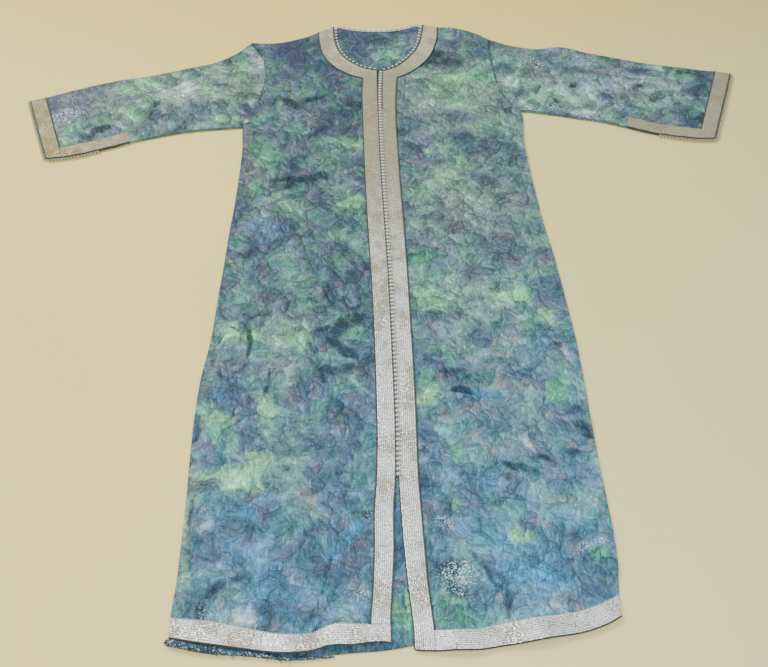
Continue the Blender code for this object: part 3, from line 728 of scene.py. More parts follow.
def front_surface(side, top):
    """Middle surface of a front. Each row of the cut is a line from the side
    seam or armhole to the ribbon and on to the front edge, and smooth curves
    join the rows. They stop at the neck corner and start again."""
    k = 1 if side < 0 else 2
    foot_side = HEM[0, 0] if side < 0 else HEM[-1, 0]
    foot_edge = follow(FRONT_EDGES, k, 20.0)
    edge = follow(FRONT_EDGES, k, ROWS[:, 1])
    outer = np.concatenate([[(foot_side, 0), (foot_side + side * 0.5, 0)],
                            np.stack([follow(SIDES, k, ROWS[:, 0]), ROWS[:, 0]], 1), top[:, :2]])
    width = side * follow(DRAWN_WIDTH, k, ROWS[:, 1])
    ribbon = np.concatenate([[(foot_edge + width[0], 0)] * 2,
                             np.stack([edge + width, ROWS[:, 1]], 1), top[:, 2:4]])
    inner = np.concatenate([[(foot_edge, 0)] * 2, np.stack([edge, ROWS[:, 1]], 1), top[:, 4:6]])

    across = np.concatenate([np.linspace(0, STRIPS, 9 * STRIPS + 1)[:-1],
                             np.linspace(STRIPS, STRIPS + 1, STRIP_COLUMNS)])
    t = np.minimum(across / STRIPS, 1)[None, :, None]
    last = np.maximum(across - STRIPS, 0)[None, :, None]
    rows = outer[:, None] + (ribbon - outer)[:, None] * t + (inner - ribbon)[:, None] * last
    count = len(rows)
    # the last three rows sink with the shoulder seam
    near_seam = np.maximum(0, 1 - (count - 1 - np.arange(count)) / 3)[:, None]
    rows[..., 1] -= near_seam * SHOULDER_DIP[side] * 4 * (t * (1 - t))[..., 0]
    # the first two are the hem and the top of its ribbon
    for i in range(2):
        rows[i, :, 1] = follow(HEM, 2 + i, rows[i, :, 0])

    marks = np.concatenate([[0], np.cumsum(np.linalg.norm(np.diff(rows, axis=0), axis=2).mean(1))])
    foot = even_steps(marks[0], marks[1], RIBBON_ROW_PITCH)
    body = even_steps(marks[1], marks[CORNER_ROW], ROW_PITCH)
    neck = even_steps(marks[CORNER_ROW], marks[-1], ROW_PITCH)
    lower = through(rows[:CORNER_ROW + 1], marks[:CORNER_ROW + 1], np.concatenate([foot[:-1], body]))
    upper = through(rows[CORNER_ROW:], marks[CORNER_ROW:], neck)
    plan = np.concatenate([lower, upper[1:]])
    at = np.concatenate([foot[:-1], body, neck[1:]])

    row_index = np.interp(at, marks, np.arange(count))
    raised = np.clip((row_index - ARMPIT_ROW + 3) / 3, 0, 1)[:, None]
    lift = (SLEEVE_MID - FRONT_MID) * raised * (1 - t[0, :, 0]) ** 2
    ease_across = np.where(across > STRIPS - 0.3, 0.25, 1.0)
    ease_up = np.where(row_index < 1.05, 0.45, 1.0)
    ease = ease_across[None, :] * ease_up[:, None]
    height = FRONT_MID + lift + lay(plan[..., 0], plan[..., 1], ease)
    surface = np.concatenate([plan, height[..., None]], 2)
    return surface, len(foot) - 1, len(foot) + len(body) - 2


FRONT_COLOURS_AND_LIGHT = {
    "pale": [
        (-310, 70, -308, 330, 7, 0.7), (-300, 340, -290, 520, 6, 0.5), (302, 180, 303, 420, 4, 0.5),
        (110, 1290, 200, 1060, 70, 0.75), (90, 960, 220, 760, 80, 0.6), (60, 640, 200, 600, 60, 0.5),
        (-240, 1040, -220, 860, 30, 0.45), (-240, 560, -120, 560, 60, 0.45),
        (-230, 290, -120, 300, 50, 0.4),
        (-150, 1110, -140, 1060, 40, 0.4), (120, 480, 240, 300, 60, 0.3),
    ],
    "lime": [
        (-98, 1024, -38, 1022, 14, 0.8), (-205, 876, -186, 876, 11, 0.6), (-82, 851, -41, 844, 15, 0.9),
        (-280, 556, -223, 542, 15, 0.9), (-174, 565, -140, 509, 15, 0.7), (-204, 431, -197, 363, 8, 0.9),
        (-107, 386, -83, 378, 11, 0.6), (-266, 283, -212, 275, 13, 1), (-228, 308, -189, 307, 9, 0.8),
        (-246, 255, -202, 261, 10, 0.7), (-285, 390, -256, 365, 12, 0.6), (-289, 291, -277, 273, 10, 0.7),
        (-58, 959, -39, 950, 10, 0.5), (-178, 579, -164, 565, 10, 0.5),
        (99, 1172, 138, 1174, 10, 1), (103, 1202, 219, 1204, 17, 0.8), (84, 1000, 95, 991, 10, 0.7),
        (137, 970, 158, 955, 10, 0.8), (38, 887, 72, 885, 13, 0.8), (99, 901, 140, 894, 9, 0.7),
        (43, 624, 86, 600, 15, 1), (180, 619, 238, 622, 12, 0.9), (246, 564, 281, 580, 7, 0.9),
        (43, 411, 66, 414, 9, 0.9), (159, 172, 185, 165, 9, 0.8), (59, 220, 90, 207, 7, 0.5),
        (177, 1054, 198, 1071, 10, 0.4), (231, 1113, 239, 1082, 10, 0.4), (51, 649, 76, 653, 10, 0.5),
    ],
    "green": [
        (-233, 1032, -222, 957, 14, 0.9), (-236, 918, -227, 882, 11, 0.8), (-258, 571, -239, 534, 15, 0.6),
        (-64, 570, -38, 539, 13, 0.5), (-281, 403, -267, 343, 12, 0.6), (-301, 419, -292, 372, 9, 0.5),
        (-260, 332, -238, 321, 12, 0.4), (-152, 622, -114, 594, 14, 0.5), (-248, 856, -236, 830, 11, 0.5),
        (210, 1238, 228, 1210, 13, 1), (38, 727, 80, 716, 11, 1), (51, 703, 68, 693, 9, 0.6),
        (43, 454, 68, 438, 11, 0.8), (261, 439, 265, 403, 10, 1), (85, 322, 94, 281, 8, 0.7),
        (279, 131, 294, 118, 7, 1), (43, 67, 90, 69, 10, 0.8), (47, 50, 90, 40, 11, 1),
        (206, 1108, 231, 1040, 14, 0.5), (104, 1149, 185, 1147, 12, 0.4), (160, 272, 172, 278, 6, 0.5),
        (113, 226, 164, 214, 12, 0.4),
    ],
    # the darkest teal: its own streaks, and painted shade in the creases' furrows, along the side folds and
    # at the seams
    "deep_and_shade": [
        (-196, 1166, -161, 1143, 8, 0.8), (-157, 1149, -116, 1164, 8, 0.8), (-88, 1143, -35, 1129, 7, 0.8),
        (-210, 923, -164, 916, 6, 1), (-164, 916, -106, 933, 6, 0.9), (-187, 911, -168, 894, 6, 0.8),
        (-303, 180, -301, 260, 2.5, 0.6), (-308, 330, -306, 370, 3, 0.7), (-298, 470, -294, 520, 2.5, 0.6),
        (-288, 590, -286, 650, 2.5, 0.6), (-36, 588, -74, 572, 7, 1), (-74, 572, -94, 548, 8, 1),
        (-94, 548, -84, 520, 6, 0.9), (-84, 520, -58, 500, 6, 0.8), (-100, 560, -128, 548, 4, 0.7),
        (-70, 596, -50, 604, 5, 0.7),
        (-145, 622, -114, 614, 5, 0.6), (-115, 655, -97, 620, 5, 0.7), (-100, 636, -88, 600, 3, 0.6),
        (-56, 625, -29, 627, 5, 0.6), (-119, 470, -84, 462, 5, 0.9), (-84, 462, -56, 478, 5, 0.9),
        (-56, 478, -28, 492, 4, 0.8), (-122, 492, -118, 452, 3, 0.7), (-112, 470, -106, 440, 3, 0.6),
        (-267, 560, -242, 545, 1.8, 0.9), (-238, 544, -240, 494, 2.0, 1), (-238, 546, -231, 560, 1.8, 0.8),
        (-248, 552, -233, 552, 1.8, 0.7), (-200, 486, -197, 431, 1.8, 1), (-208, 660, -203, 590, 1.8, 0.6),
        (-222, 648, -212, 622, 1.8, 0.6), (-278, 45, -272, 88, 5, 1), (-272, 93, -246, 106, 5, 1),
        (-245, 106, -218, 112, 4, 0.7), (-62, 209, -41, 199, 6, 0.9), (-145, 376, -129, 346, 4, 0.4),
        (-170, 372, -110, 380, 2, 0.5), (-196, 380, -140, 356, 2, 0.4), (-300, 480, -250, 452, 2, 0.5),
        (-44, 706, -31, 687, 7, 0.5),
        (95, 1276, 178, 1260, 11, 1), (105, 1300, 142, 1288, 11, 0.8), (73, 461, 125, 463, 5, 0.8),
        (86, 425, 127, 418, 4, 1), (107, 440, 133, 451, 5, 0.6), (163, 286, 207, 270, 5, 1),
        (164, 268, 175, 254, 6, 0.6), (211, 305, 233, 287, 5, 0.7), (273, 369, 295, 391, 5, 0.5),
        (292, 353, 303, 324, 5, 1), (37, 118, 83, 119, 8, 1), (45, 100, 91, 77, 7, 0.8),
        (90, 134, 123, 100, 3, 0.9), (123, 100, 144, 64, 3, 0.6), (140, 76, 145, 38, 3, 0.8),
        (258, 289, 286, 299, 5, 0.7), (49, 76, 53, 56, 5, 0.5), (193, 1059, 205, 1023, 8, 0.3),
        (187, 914, 215, 891, 8, 0.4),
    ],
    # navy patches, and painted shade in the furrows of some creases
    "ink_and_shade": [
        (-228, 1329, -138, 1291, 30, 0.8), (-213, 1260, -162, 1211, 21, 0.5),
        (-96, 1118, -44, 1098, 12, 0.7), (-181, 969, -161, 949, 10, 0.8), (-119, 852, -95, 846, 6, 0.8),
        (-82, 830, -69, 837, 6, 0.6), (-182, 805, -168, 804, 7, 0.8), (-251, 772, -237, 771, 7, 0.9),
        (-237, 771, -228, 732, 6, 0.9), (-249, 723, -239, 747, 6, 0.8), (-76, 724, -65, 761, 7, 0.8),
        (-49, 934, -32, 911, 9, 0.7), (-135, 339, -119, 317, 8, 0.7), (-86, 314, -65, 317, 6, 0.6),
        (-133, 173, -116, 195, 6, 0.9), (-287, 175, -263, 144, 11, 0.5), (-149, 469, -136, 441, 8, 0.6),
        (-266, 408, -243, 417, 8, 0.4), (-296, 232, -282, 207, 9, 0.5), (-80, 137, -60, 118, 7, 0.4),
        (-212, 495, -186, 515, 8, 0.3),
        (132, 1098, 187, 1084, 12, 0.8), (141, 1049, 180, 1006, 14, 0.8), (43, 1083, 78, 1051, 14, 0.5),
        (96, 968, 116, 956, 8, 0.8), (154, 927, 217, 908, 11, 0.6), (92, 697, 170, 666, 16, 0.5),
        (140, 563, 180, 523, 15, 0.4), (35, 545, 48, 528, 10, 0.4), (235, 81, 277, 65, 8, 0.6),
        (237, 363, 254, 325, 11, 0.4), (281, 106, 294, 88, 8, 0.5), (142, 1234, 177, 1246, 10, 0.4),
        (200, 1322, 231, 1278, 13, 0.6), (94, 885, 104, 868, 7, 0.5), (200, 817, 205, 761, 11, 0.4),
        (157, 783, 175, 752, 11, 0.4),
    ],
    "azure": [
        (-50, 189, -79, 160, 7, 1), (-79, 160, -107, 129, 8, 0.8), (-282, 207, -200, 204, 17, 0.5),
        (-270, 144, -143, 109, 28, 0.5), (-232, 83, -102, 78, 22, 0.5), (-101, 185, -87, 200, 10, 0.5),
        (-271, 798, -154, 764, 25, 0.35), (-282, 434, -256, 422, 11, 0.4), (-233, 238, -145, 186, 20, 0.35),
        (-65, 77, -53, 62, 8, 0.5),
        (104, 409, 143, 419, 6, 0.8), (145, 408, 172, 418, 6, 0.5), (118, 161, 227, 81, 28, 0.6),
        (231, 189, 284, 155, 14, 0.4), (158, 840, 205, 796, 18, 0.35), (227, 501, 276, 499, 23, 0.35),
        (57, 269, 150, 245, 18, 0.3), (163, 307, 189, 320, 9, 0.4), (88, 636, 138, 612, 14, 0.2),
    ],
    "dusk": [
        (-265, 1081, -256, 980, 10, 0.8), (-261, 966, -262, 870, 8, 0.5), (-209, 218, -185, 204, 9, 0.7),
        (-141, 255, -128, 241, 7, 0.7), (-113, 204, -87, 191, 7, 0.7), (-73, 174, -53, 155, 9, 0.8),
        (-233, 120, -218, 112, 8, 0.6), (-180, 431, -148, 414, 14, 0.6), (-289, 494, -246, 480, 13, 0.4),
        (-73, 411, -54, 422, 9, 0.5), (-130, 139, -118, 129, 7, 0.5), (-73, 143, -57, 118, 7, 0.5),
        (-213, 173, -203, 141, 7, 0.4),
        (171, 444, 187, 437, 6, 0.9), (163, 258, 182, 261, 7, 0.6), (151, 471, 166, 482, 6, 0.5),
        (177, 502, 194, 477, 10, 0.4), (225, 273, 247, 297, 8, 0.5), (276, 80, 290, 94, 7, 0.5),
        (239, 145, 251, 132, 7, 0.5), (113, 996, 130, 1007, 10, 0.4), (73, 969, 86, 940, 10, 0.3),
        (239, 126, 248, 111, 8, 0.4), (85, 251, 107, 260, 7, 0.3),
    ],
    # pale mint patches, and painted highlights on some crease ridges
    "frost_and_highlight": [
        (-326, 573, -267, 549, 10, 0.3), (-240, 57, -202, 53, 7, 0.8), (-288, 191, -266, 200, 6, 0.5),
        (-169, 140, -143, 94, 8, 0.35), (-223, 776, -122, 772, 5, 0.3), (-203, 624, -180, 525, 7, 0.3),
        (94, 765, 103, 701, 7, 0.4), (106, 1182, 125, 1171, 6, 0.6), (172, 994, 231, 1004, 8, 0.3),
        (279, 520, 280, 458, 7, 0.4), (198, 345, 203, 309, 6, 0.5), (27, 333, 33, 280, 9, 0.4),
        (138, 130, 195, 134, 7, 0.3), (185, 60, 230, 49, 4, 0.5), (64, 332, 78, 278, 6, 0.3),
    ],
    "shine": [
        (-286, 225, -279, 217, 4, 0.8), (-60, 91, -51, 71, 7, 0.7), (-217, 51, -193, 42, 4, 0.6),
        (-152, 645, -118, 639, 7, 0.2), (-280, 85, -259, 27, 7, 0.4), (-52, 206, -41, 195, 6, 0.6),
        (257, 132, 293, 158, 4, 1), (54, 192, 73, 175, 4, 1), (52, 114, 93, 104, 10, 1),
        (36, 91, 88, 77, 8, 0.5), (217, 53, 227, 50, 3, 1), (279, 217, 297, 200, 7, 0.5),
        (50, 306, 58, 293, 6, 0.2), (109, 71, 130, 62, 4, 0.3),
    ],
}

fronts = {}
for side, word, top in ((-1, "left", TOP_LEFT), (1, "right", TOP_RIGHT)):
    surface, ribbon_row, corner_row = front_surface(side, top)
    front = panel("front_panel_" + word, surface, masks_of(FRONT_COLOURS_AND_LIGHT, surface))
    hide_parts("front_" + word)
    fronts[side] = (surface, ribbon_row, corner_row)


# The sleeves: flattened tubes of the same brocade, set in at the armholes and
# puffed there. Each is folded at its upper edge, seamed along the lower one and
# left open beside the cuff.
SEAM_GAP = 0.45       # between a sleeve and the body
SLEEVE_LEFT = np.array([
    # low_x, low_y, top_x, top_y
    (-646, 997, -708, 1174), (-617, 1000, -680, 1184), (-585, 1007, -650, 1197),
    (-550, 1019, -611, 1212), (-520, 1029, -575, 1224), (-491, 1040, -539, 1235),
    (-450, 1052, -490, 1245), (-405, 1064, -440, 1258), (-362, 1071, -388, 1275),
    (-326, 1074, -338, 1289), (-298, 1076, -300, 1318), (-273, 1078, -268, 1356),
], float)
SLEEVE_RIGHT = np.array([
    # low_x, low_y, top_x, top_y
    (654, 1011, 735, 1214), (624, 1012, 707, 1223), (590, 1018, 675, 1229),
    (553, 1027, 637, 1239), (518, 1039, 600, 1247), (488, 1052, 562, 1257),
    (440, 1071, 502, 1277), (395, 1083, 447, 1297), (352, 1095, 392, 1319),
    (320, 1102, 338, 1313), (300, 1107, 290, 1327), (283, 1108, 242, 1352),
], float)
SLIT_SECTION = 5      # the opening beside the cuff ends at this section
CREASES += [
    (-575, 1066, -528, 1088, 6, -2.0), (-470, 1113, -436, 1126, 8, -1.6), (-446, 1196, -366, 1172, 9, 2.0),
    (-538, 1184, -486, 1178, 6, 1.6), (-340, 1218, -290, 1196, 7, -1.8), (-420, 1208, -350, 1222, 7, -1.5),
    (-650, 1150, -590, 1130, 6, 1.0), (-640, 1112, -580, 1102, 6, 1.2), (-625, 1080, -560, 1090, 6, -1.0),
    (-392, 1154, -330, 1140, 8, -1.4), (-330, 1100, -280, 1120, 8, -1.4), (-300, 1160, -262, 1190, 7, -1.3),
    (-310, 1232, -262, 1240, 7, -1.6), (-308, 1268, -258, 1278, 6, -1.4), (-300, 1298, -262, 1318, 6, -1.2),
    (-262, 1330, -246, 1250, 9, 2.2), (-500, 1226, -440, 1206, 9, -1.4), (-420, 1080, -370, 1100, 8, -1.2),
    (-560, 1130, -500, 1146, 8, -1.3), (-604, 1190, -572, 1172, 7, -1.0),
    (352, 1126, 376, 1140, 9, -2.6), (386, 1180, 412, 1206, 6, -2.0), (404, 1200, 432, 1232, 7, -1.4),
    (388, 1104, 446, 1088, 8, 1.8), (440, 1102, 500, 1082, 6, 1.4), (300, 1276, 350, 1246, 9, 1.8),
    (352, 1300, 400, 1296, 8, 1.4), (380, 1272, 452, 1268, 8, 1.4), (452, 1165, 478, 1140, 9, -1.6),
    (508, 1150, 540, 1176, 6, -1.6), (516, 1236, 580, 1216, 8, -1.5), (560, 1082, 600, 1128, 5, -1.5),
    (540, 1100, 520, 1070, 5, -1.4), (590, 1130, 640, 1150, 7, -1.2), (625, 1216, 636, 1234, 6, -1.2),
    (626, 1060, 652, 1076, 6, -1.2), (262, 1240, 320, 1236, 7, -1.5), (270, 1190, 326, 1196, 7, -1.4),
    (262, 1290, 310, 1300, 7, -1.4), (290, 1150, 340, 1160, 7, -1.2), (470, 1210, 530, 1200, 8, -1.2),
    (660, 1180, 690, 1150, 6, -1.0), (580, 1190, 620, 1170, 7, 1.2),
]
SLEEVE_COLOURS_AND_LIGHT = {
    "pale": [
        (-640, 1120, -300, 1220, 70, 0.65), (-330, 1150, -280, 1280, 60, 0.9),
        (-480, 1180, -380, 1200, 50, 0.9),
        (640, 1130, 300, 1220, 70, 0.5), (330, 1150, 290, 1260, 60, 0.6),
    ],
    "lime": [
        (-520, 1217, -470, 1203, 16, 0.7), (-530, 1124, -500, 1112, 14, 0.6),
        (-345, 1092, -300, 1098, 14, 0.5),
        (-489, 1226, -450, 1208, 8, 1), (-514, 1133, -481, 1119, 10, 0.8),
        (-367, 1198, -337, 1178, 10, 0.7),
        (-331, 1096, -284, 1100, 10, 0.9), (-309, 1256, -272, 1275, 10, 0.8),
        (-354, 1244, -324, 1230, 12, 0.5), (-275, 1163, -247, 1162, 10, 0.6),
        (-552, 1128, -524, 1115, 6, 0.6),
        (331, 1167, 374, 1153, 10, 0.9), (349, 1147, 398, 1146, 8, 0.8), (264, 1196, 311, 1175, 12, 0.5),
        (617, 1210, 649, 1202, 10, 0.7), (523, 1135, 569, 1120, 10, 0.5), (288, 1149, 337, 1135, 8, 0.5),
        (564, 1095, 592, 1094, 10, 0.4),
    ],
    "green": [
        (-392, 1249, -363, 1258, 6, 1), (-367, 1251, -356, 1264, 6, 0.8), (-500, 1145, -466, 1125, 8, 0.9),
        (-468, 1150, -453, 1163, 8, 0.8), (-566, 1098, -535, 1109, 6, 0.9),
        (-616, 1069, -576, 1086, 6, 0.7),
        (-460, 1228, -420, 1233, 6, 0.6), (-298, 1290, -278, 1303, 8, 0.8),
        (-318, 1139, -291, 1150, 10, 0.4),
        (626, 1230, 673, 1215, 8, 0.6), (525, 1103, 558, 1108, 8, 0.6), (561, 1159, 604, 1171, 10, 0.5),
        (463, 1099, 493, 1085, 8, 0.5), (629, 1112, 644, 1093, 8, 0.5), (575, 1108, 595, 1126, 8, 0.4),
    ],
    # navy patches, and painted shade in the furrows of some creases
    "ink_and_shade": [
        (-690, 1140, -580, 1160, 30, 0.6), (-680, 1180, -560, 1205, 30, 0.5),
        (-495, 1088, -440, 1100, 12, 0.6),
        (-430, 1130, -340, 1150, 20, 0.5),
        (-336, 1217, -297, 1196, 6, 0.8), (-468, 1113, -441, 1124, 8, 0.9),
        (-537, 1185, -487, 1177, 6, 0.6),
        (-388, 1154, -355, 1146, 8, 0.6), (-644, 1144, -583, 1135, 12, 0.3),
        (-496, 1077, -456, 1076, 10, 0.5),
        (-588, 1199, -562, 1186, 10, 0.4), (-391, 1098, -360, 1109, 12, 0.4),
        (-244, 1309, -228, 1329, 9, 0.6),
        (381, 1232, 464, 1222, 10, 0.8), (517, 1234, 573, 1219, 8, 0.8), (454, 1163, 475, 1143, 12, 0.8),
        (387, 1273, 450, 1264, 11, 0.5), (515, 1161, 539, 1173, 8, 0.7), (640, 1163, 668, 1143, 10, 0.6),
        (340, 1303, 388, 1280, 11, 0.4), (391, 1185, 429, 1190, 8, 0.4),
    ],
    # the darkest teal: its own streaks, and painted shade in the creases' furrows
    "deep_and_shade": [
        (-569, 1068, -529, 1087, 5, 1), (-591, 1056, -565, 1064, 5, 0.8), (-377, 1245, -367, 1248, 4, 0.9),
        (-459, 1137, -449, 1156, 5, 0.8), (-442, 1207, -425, 1200, 5, 0.5),
        (-323, 1210, -306, 1203, 4, 0.5),
        (391, 1182, 405, 1191, 5, 1), (358, 1128, 372, 1137, 6, 1), (527, 1180, 545, 1166, 5, 0.8),
        (623, 1217, 634, 1230, 5, 0.7), (625, 1062, 648, 1074, 6, 1), (636, 1144, 658, 1149, 5, 0.5),
        (643, 1086, 645, 1062, 5, 0.6),
    ],
    # pale mint patches, and painted highlights on some crease ridges
    "frost_and_highlight": [
        (640, 1150, 300, 1230, 60, 0.38), (-267, 1338, -242, 1240, 15, 0.55),
        (-282, 1144, -251, 1162, 8, 0.5), (-418, 1220, -374, 1185, 10, 0.6),
        (-430, 1130, -383, 1141, 12, 0.3), (-284, 1100, -269, 1131, 8, 0.4),
        (268, 1229, 282, 1169, 10, 0.5), (285, 1130, 312, 1117, 6, 0.7), (391, 1101, 442, 1093, 6, 0.7),
        (456, 1124, 506, 1110, 8, 0.4), (634, 1099, 651, 1105, 8, 0.3),
    ],
    "dusk": [
        (-690, 1165, -560, 1195, 40, 0.6), (-650, 1090, -610, 1120, 20, 0.4),
        (-551, 1198, -524, 1210, 10, 0.5), (-586, 1212, -551, 1231, 10, 0.5),
        (-269, 1296, -240, 1214, 17, 0.5),
        (-446, 1169, -412, 1155, 8, 0.4), (265, 1326, 327, 1303, 13, 0.5), (318, 1227, 369, 1206, 12, 0.5),
        (479, 1235, 511, 1248, 8, 0.4), (294, 1276, 321, 1255, 13, 0.3),
    ],
    "azure": [
        (-639, 1113, -580, 1117, 10, 0.3), (-370, 1128, -334, 1133, 12, 0.4),
        (-439, 1106, -398, 1092, 12, 0.3),
        (343, 1261, 469, 1249, 15, 0.4), (418, 1197, 501, 1194, 15, 0.4), (486, 1111, 544, 1096, 10, 0.4),
        (646, 1189, 678, 1181, 8, 0.4),
    ],
    "shine": [
        (-680, 1115, -580, 1130, 12, 0.7), (-660, 1170, -570, 1200, 16, 0.35),
        (-460, 1195, -385, 1165, 12, 0.9),
        (-440, 1194, -388, 1206, 8, 1), (-415, 1180, -369, 1172, 6, 0.9), (-533, 1181, -488, 1180, 5, 0.7),
        (-357, 1278, -327, 1281, 5, 0.8), (-265, 1289, -243, 1274, 11, 0.8),
        (-254, 1234, -245, 1220, 5, 0.9),
        (-647, 1113, -598, 1105, 12, 0.6), (-500, 1145, -460, 1150, 6, 0.5),
        (-639, 1163, -587, 1161, 10, 0.3),
        (-406, 1219, -401, 1206, 6, 0.6), (-663, 1138, -629, 1125, 8, 0.5),
        (-351, 1096, -336, 1108, 5, 0.5),
        (-598, 1213, -569, 1179, 8, 0.3), (303, 1276, 346, 1247, 11, 0.9), (348, 1295, 392, 1308, 6, 0.7),
        (387, 1273, 447, 1271, 8, 0.9), (466, 1163, 523, 1180, 8, 0.8), (536, 1160, 555, 1153, 6, 1),
        (574, 1185, 596, 1171, 8, 0.6), (341, 1122, 364, 1109, 8, 0.9), (391, 1101, 441, 1087, 8, 1),
        (284, 1124, 316, 1117, 6, 0.8), (480, 1242, 532, 1247, 6, 0.6), (376, 1137, 381, 1146, 4, 0.8),
        (649, 1130, 673, 1162, 6, 0.5), (449, 1075, 478, 1070, 4, 0.6),
    ],
}


def sleeve_surface(side, table, top):
    """Middle surface of a sleeve, from cuff to armhole. Each section is a ring:
    the upper layer from the lower edge to the upper one, half a turn round the
    fold, and back along the layer on the floor. The layers' lines bend from
    straight at the cuff into the armhole's curve."""
    arm = top[:, :2] + np.array([side * SEAM_GAP, 0.0])
    run = run_of(arm)
    last = len(table) - 1
    marks = run_of((table[:, :2] + table[:, 2:]) / 2)
    slit = marks[SLIT_SECTION]
    cuff = even_steps(0, marks[1], RIBBON_ROW_PITCH)
    beside = even_steps(marks[1], slit, ROW_PITCH)
    at = np.concatenate([cuff[:-1], beside, even_steps(slit, marks[-1], ROW_PITCH)[1:]])
    edges = through(table, marks, at)
    low = edges[:, None, :2]
    high = edges[:, None, 2:]
    u = np.interp(at, marks, np.arange(last + 1)) / last

    c = np.concatenate([np.linspace(0, 1, STRIP_COLUMNS)[:-1], np.linspace(1, STRIPS, 54)])
    arm_c = through(arm, np.arange(STRIPS + 1), c)[None]
    arm_t = through(run / run[-1], np.arange(STRIPS + 1), c)[None]
    strip = RIBBON_WIDTH / np.linalg.norm(high - low, axis=2)
    cuff_t = np.where(c <= 1, c * strip, strip + (1 - strip) * (c - 1) / (STRIPS - 1))
    late = np.clip((u - 0.5) / 0.5, 0, 1)[:, None]
    late = late * late * (3 - 2 * late)
    t = (1 - late) * cuff_t + late * arm_t
    straight = arm[0] + (arm[-1] - arm[0]) * arm_t[..., None]
    line = low + (high - low) * t[..., None] + (arm_c - straight) * late[..., None]
    upper = SLEEVE_MID + lay(line[..., 0], line[..., 1])

    closed = at >= slit - 0.01
    ring_low = (upper[:, :1] - BACK_MID) / 2
    ring_top = (upper[:, -1:] - BACK_MID) / 2
    way_low = line[:, 1] - line[:, 0]
    way_low /= np.linalg.norm(way_low, axis=1, keepdims=True)
    way_top = line[:, -2] - line[:, -1]
    way_top /= np.linalg.norm(way_top, axis=1, keepdims=True)
    start = np.where(closed[:, None], ring_low, 0.0)
    share = c[None] / STRIPS
    inset = (start * np.clip(1 - 6 * share, 0, 1))[..., None] * way_low[:, None]
    inset = inset + (ring_top * np.clip(6 * share - 5, 0, 1))[..., None] * way_top[:, None]
    flat = line + inset

    def fold(end, way, ring, angles):
        """Points round a fold: half an ellipse of the layers' distance."""
        a = np.radians(angles)[None]
        plan = end[:, None] + way[:, None] * (ring * (1 - np.cos(a)))[..., None]
        z = BACK_MID + ring + ring * np.sin(a)
        return np.concatenate([plan, z[..., None]], 2)

    over = np.concatenate([flat, upper[..., None]], 2)
    under = np.concatenate([flat, np.full_like(upper, BACK_MID)[..., None]], 2)[:, ::-1]
    first = fold(line[:, 0], way_low, ring_low, [0, 30, 60])
    final = fold(line[:, 0], way_low, ring_low, [-60, -30, 0])
    # beside the opening the edges lie flat, three columns to each, set in a little
    set_in = np.array([0.0, 0.15, 0.3])[None, :, None]
    open_over = np.repeat(over[:, :1], 3, 1)
    open_over[..., :2] += way_low[:, None] * set_in
    open_under = np.repeat(under[:, -1:], 3, 1)
    open_under[..., :2] += way_low[:, None] * set_in[:, ::-1]
    first = np.where(closed[:, None, None], first, open_over)
    final = np.where(closed[:, None, None], final, open_under)
    over[~closed, 0, :2] += way_low[~closed] * 0.5
    under[~closed, -1, :2] += way_low[~closed] * 0.5
    top_fold = fold(line[:, -1], way_top, ring_top, [60, 30, 0, -30, -60])
    ring = np.concatenate([first, over, top_fold, under[:, ::2], under[:, -1:], final], 1)
    return ring, over, len(cuff) - 1, len(cuff) + len(beside) - 2


sleeves = {}
for side, word, table, top, flat in ((-1, "left", SLEEVE_LEFT, TOP_LEFT, (0.56, 0.46)),
                                     (1, "right", SLEEVE_RIGHT, TOP_RIGHT, (0.56, 0.50))):
    ring, upper, cuff_row, slit_row = sleeve_surface(side, table, top)
    masks = masks_of(SLEEVE_COLOURS_AND_LIGHT, ring)
    # the armhole's seam: a dark line of painted shade along it
    masks["deep_and_shade"][-2:] = np.maximum(masks["deep_and_shade"][-2:], 0.6)
    sleeve = panel("sleeve_tube_" + word, ring, masks, shut=slit_row)
    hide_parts("sleeve_" + word)
    sleeves[side] = (upper, cuff_row, slit_row)


# The ribbons: woven bands about thirty millimetres wide, silver on a beige
# ground with nine lengthwise ribs, sewn on along the front edges, the neckline,
# the hem, and round each cuff and its opening.
RIBBON = 1.0          # thickness over a rib
RIBS = 9
ACROSS = 4 * RIBS + 1


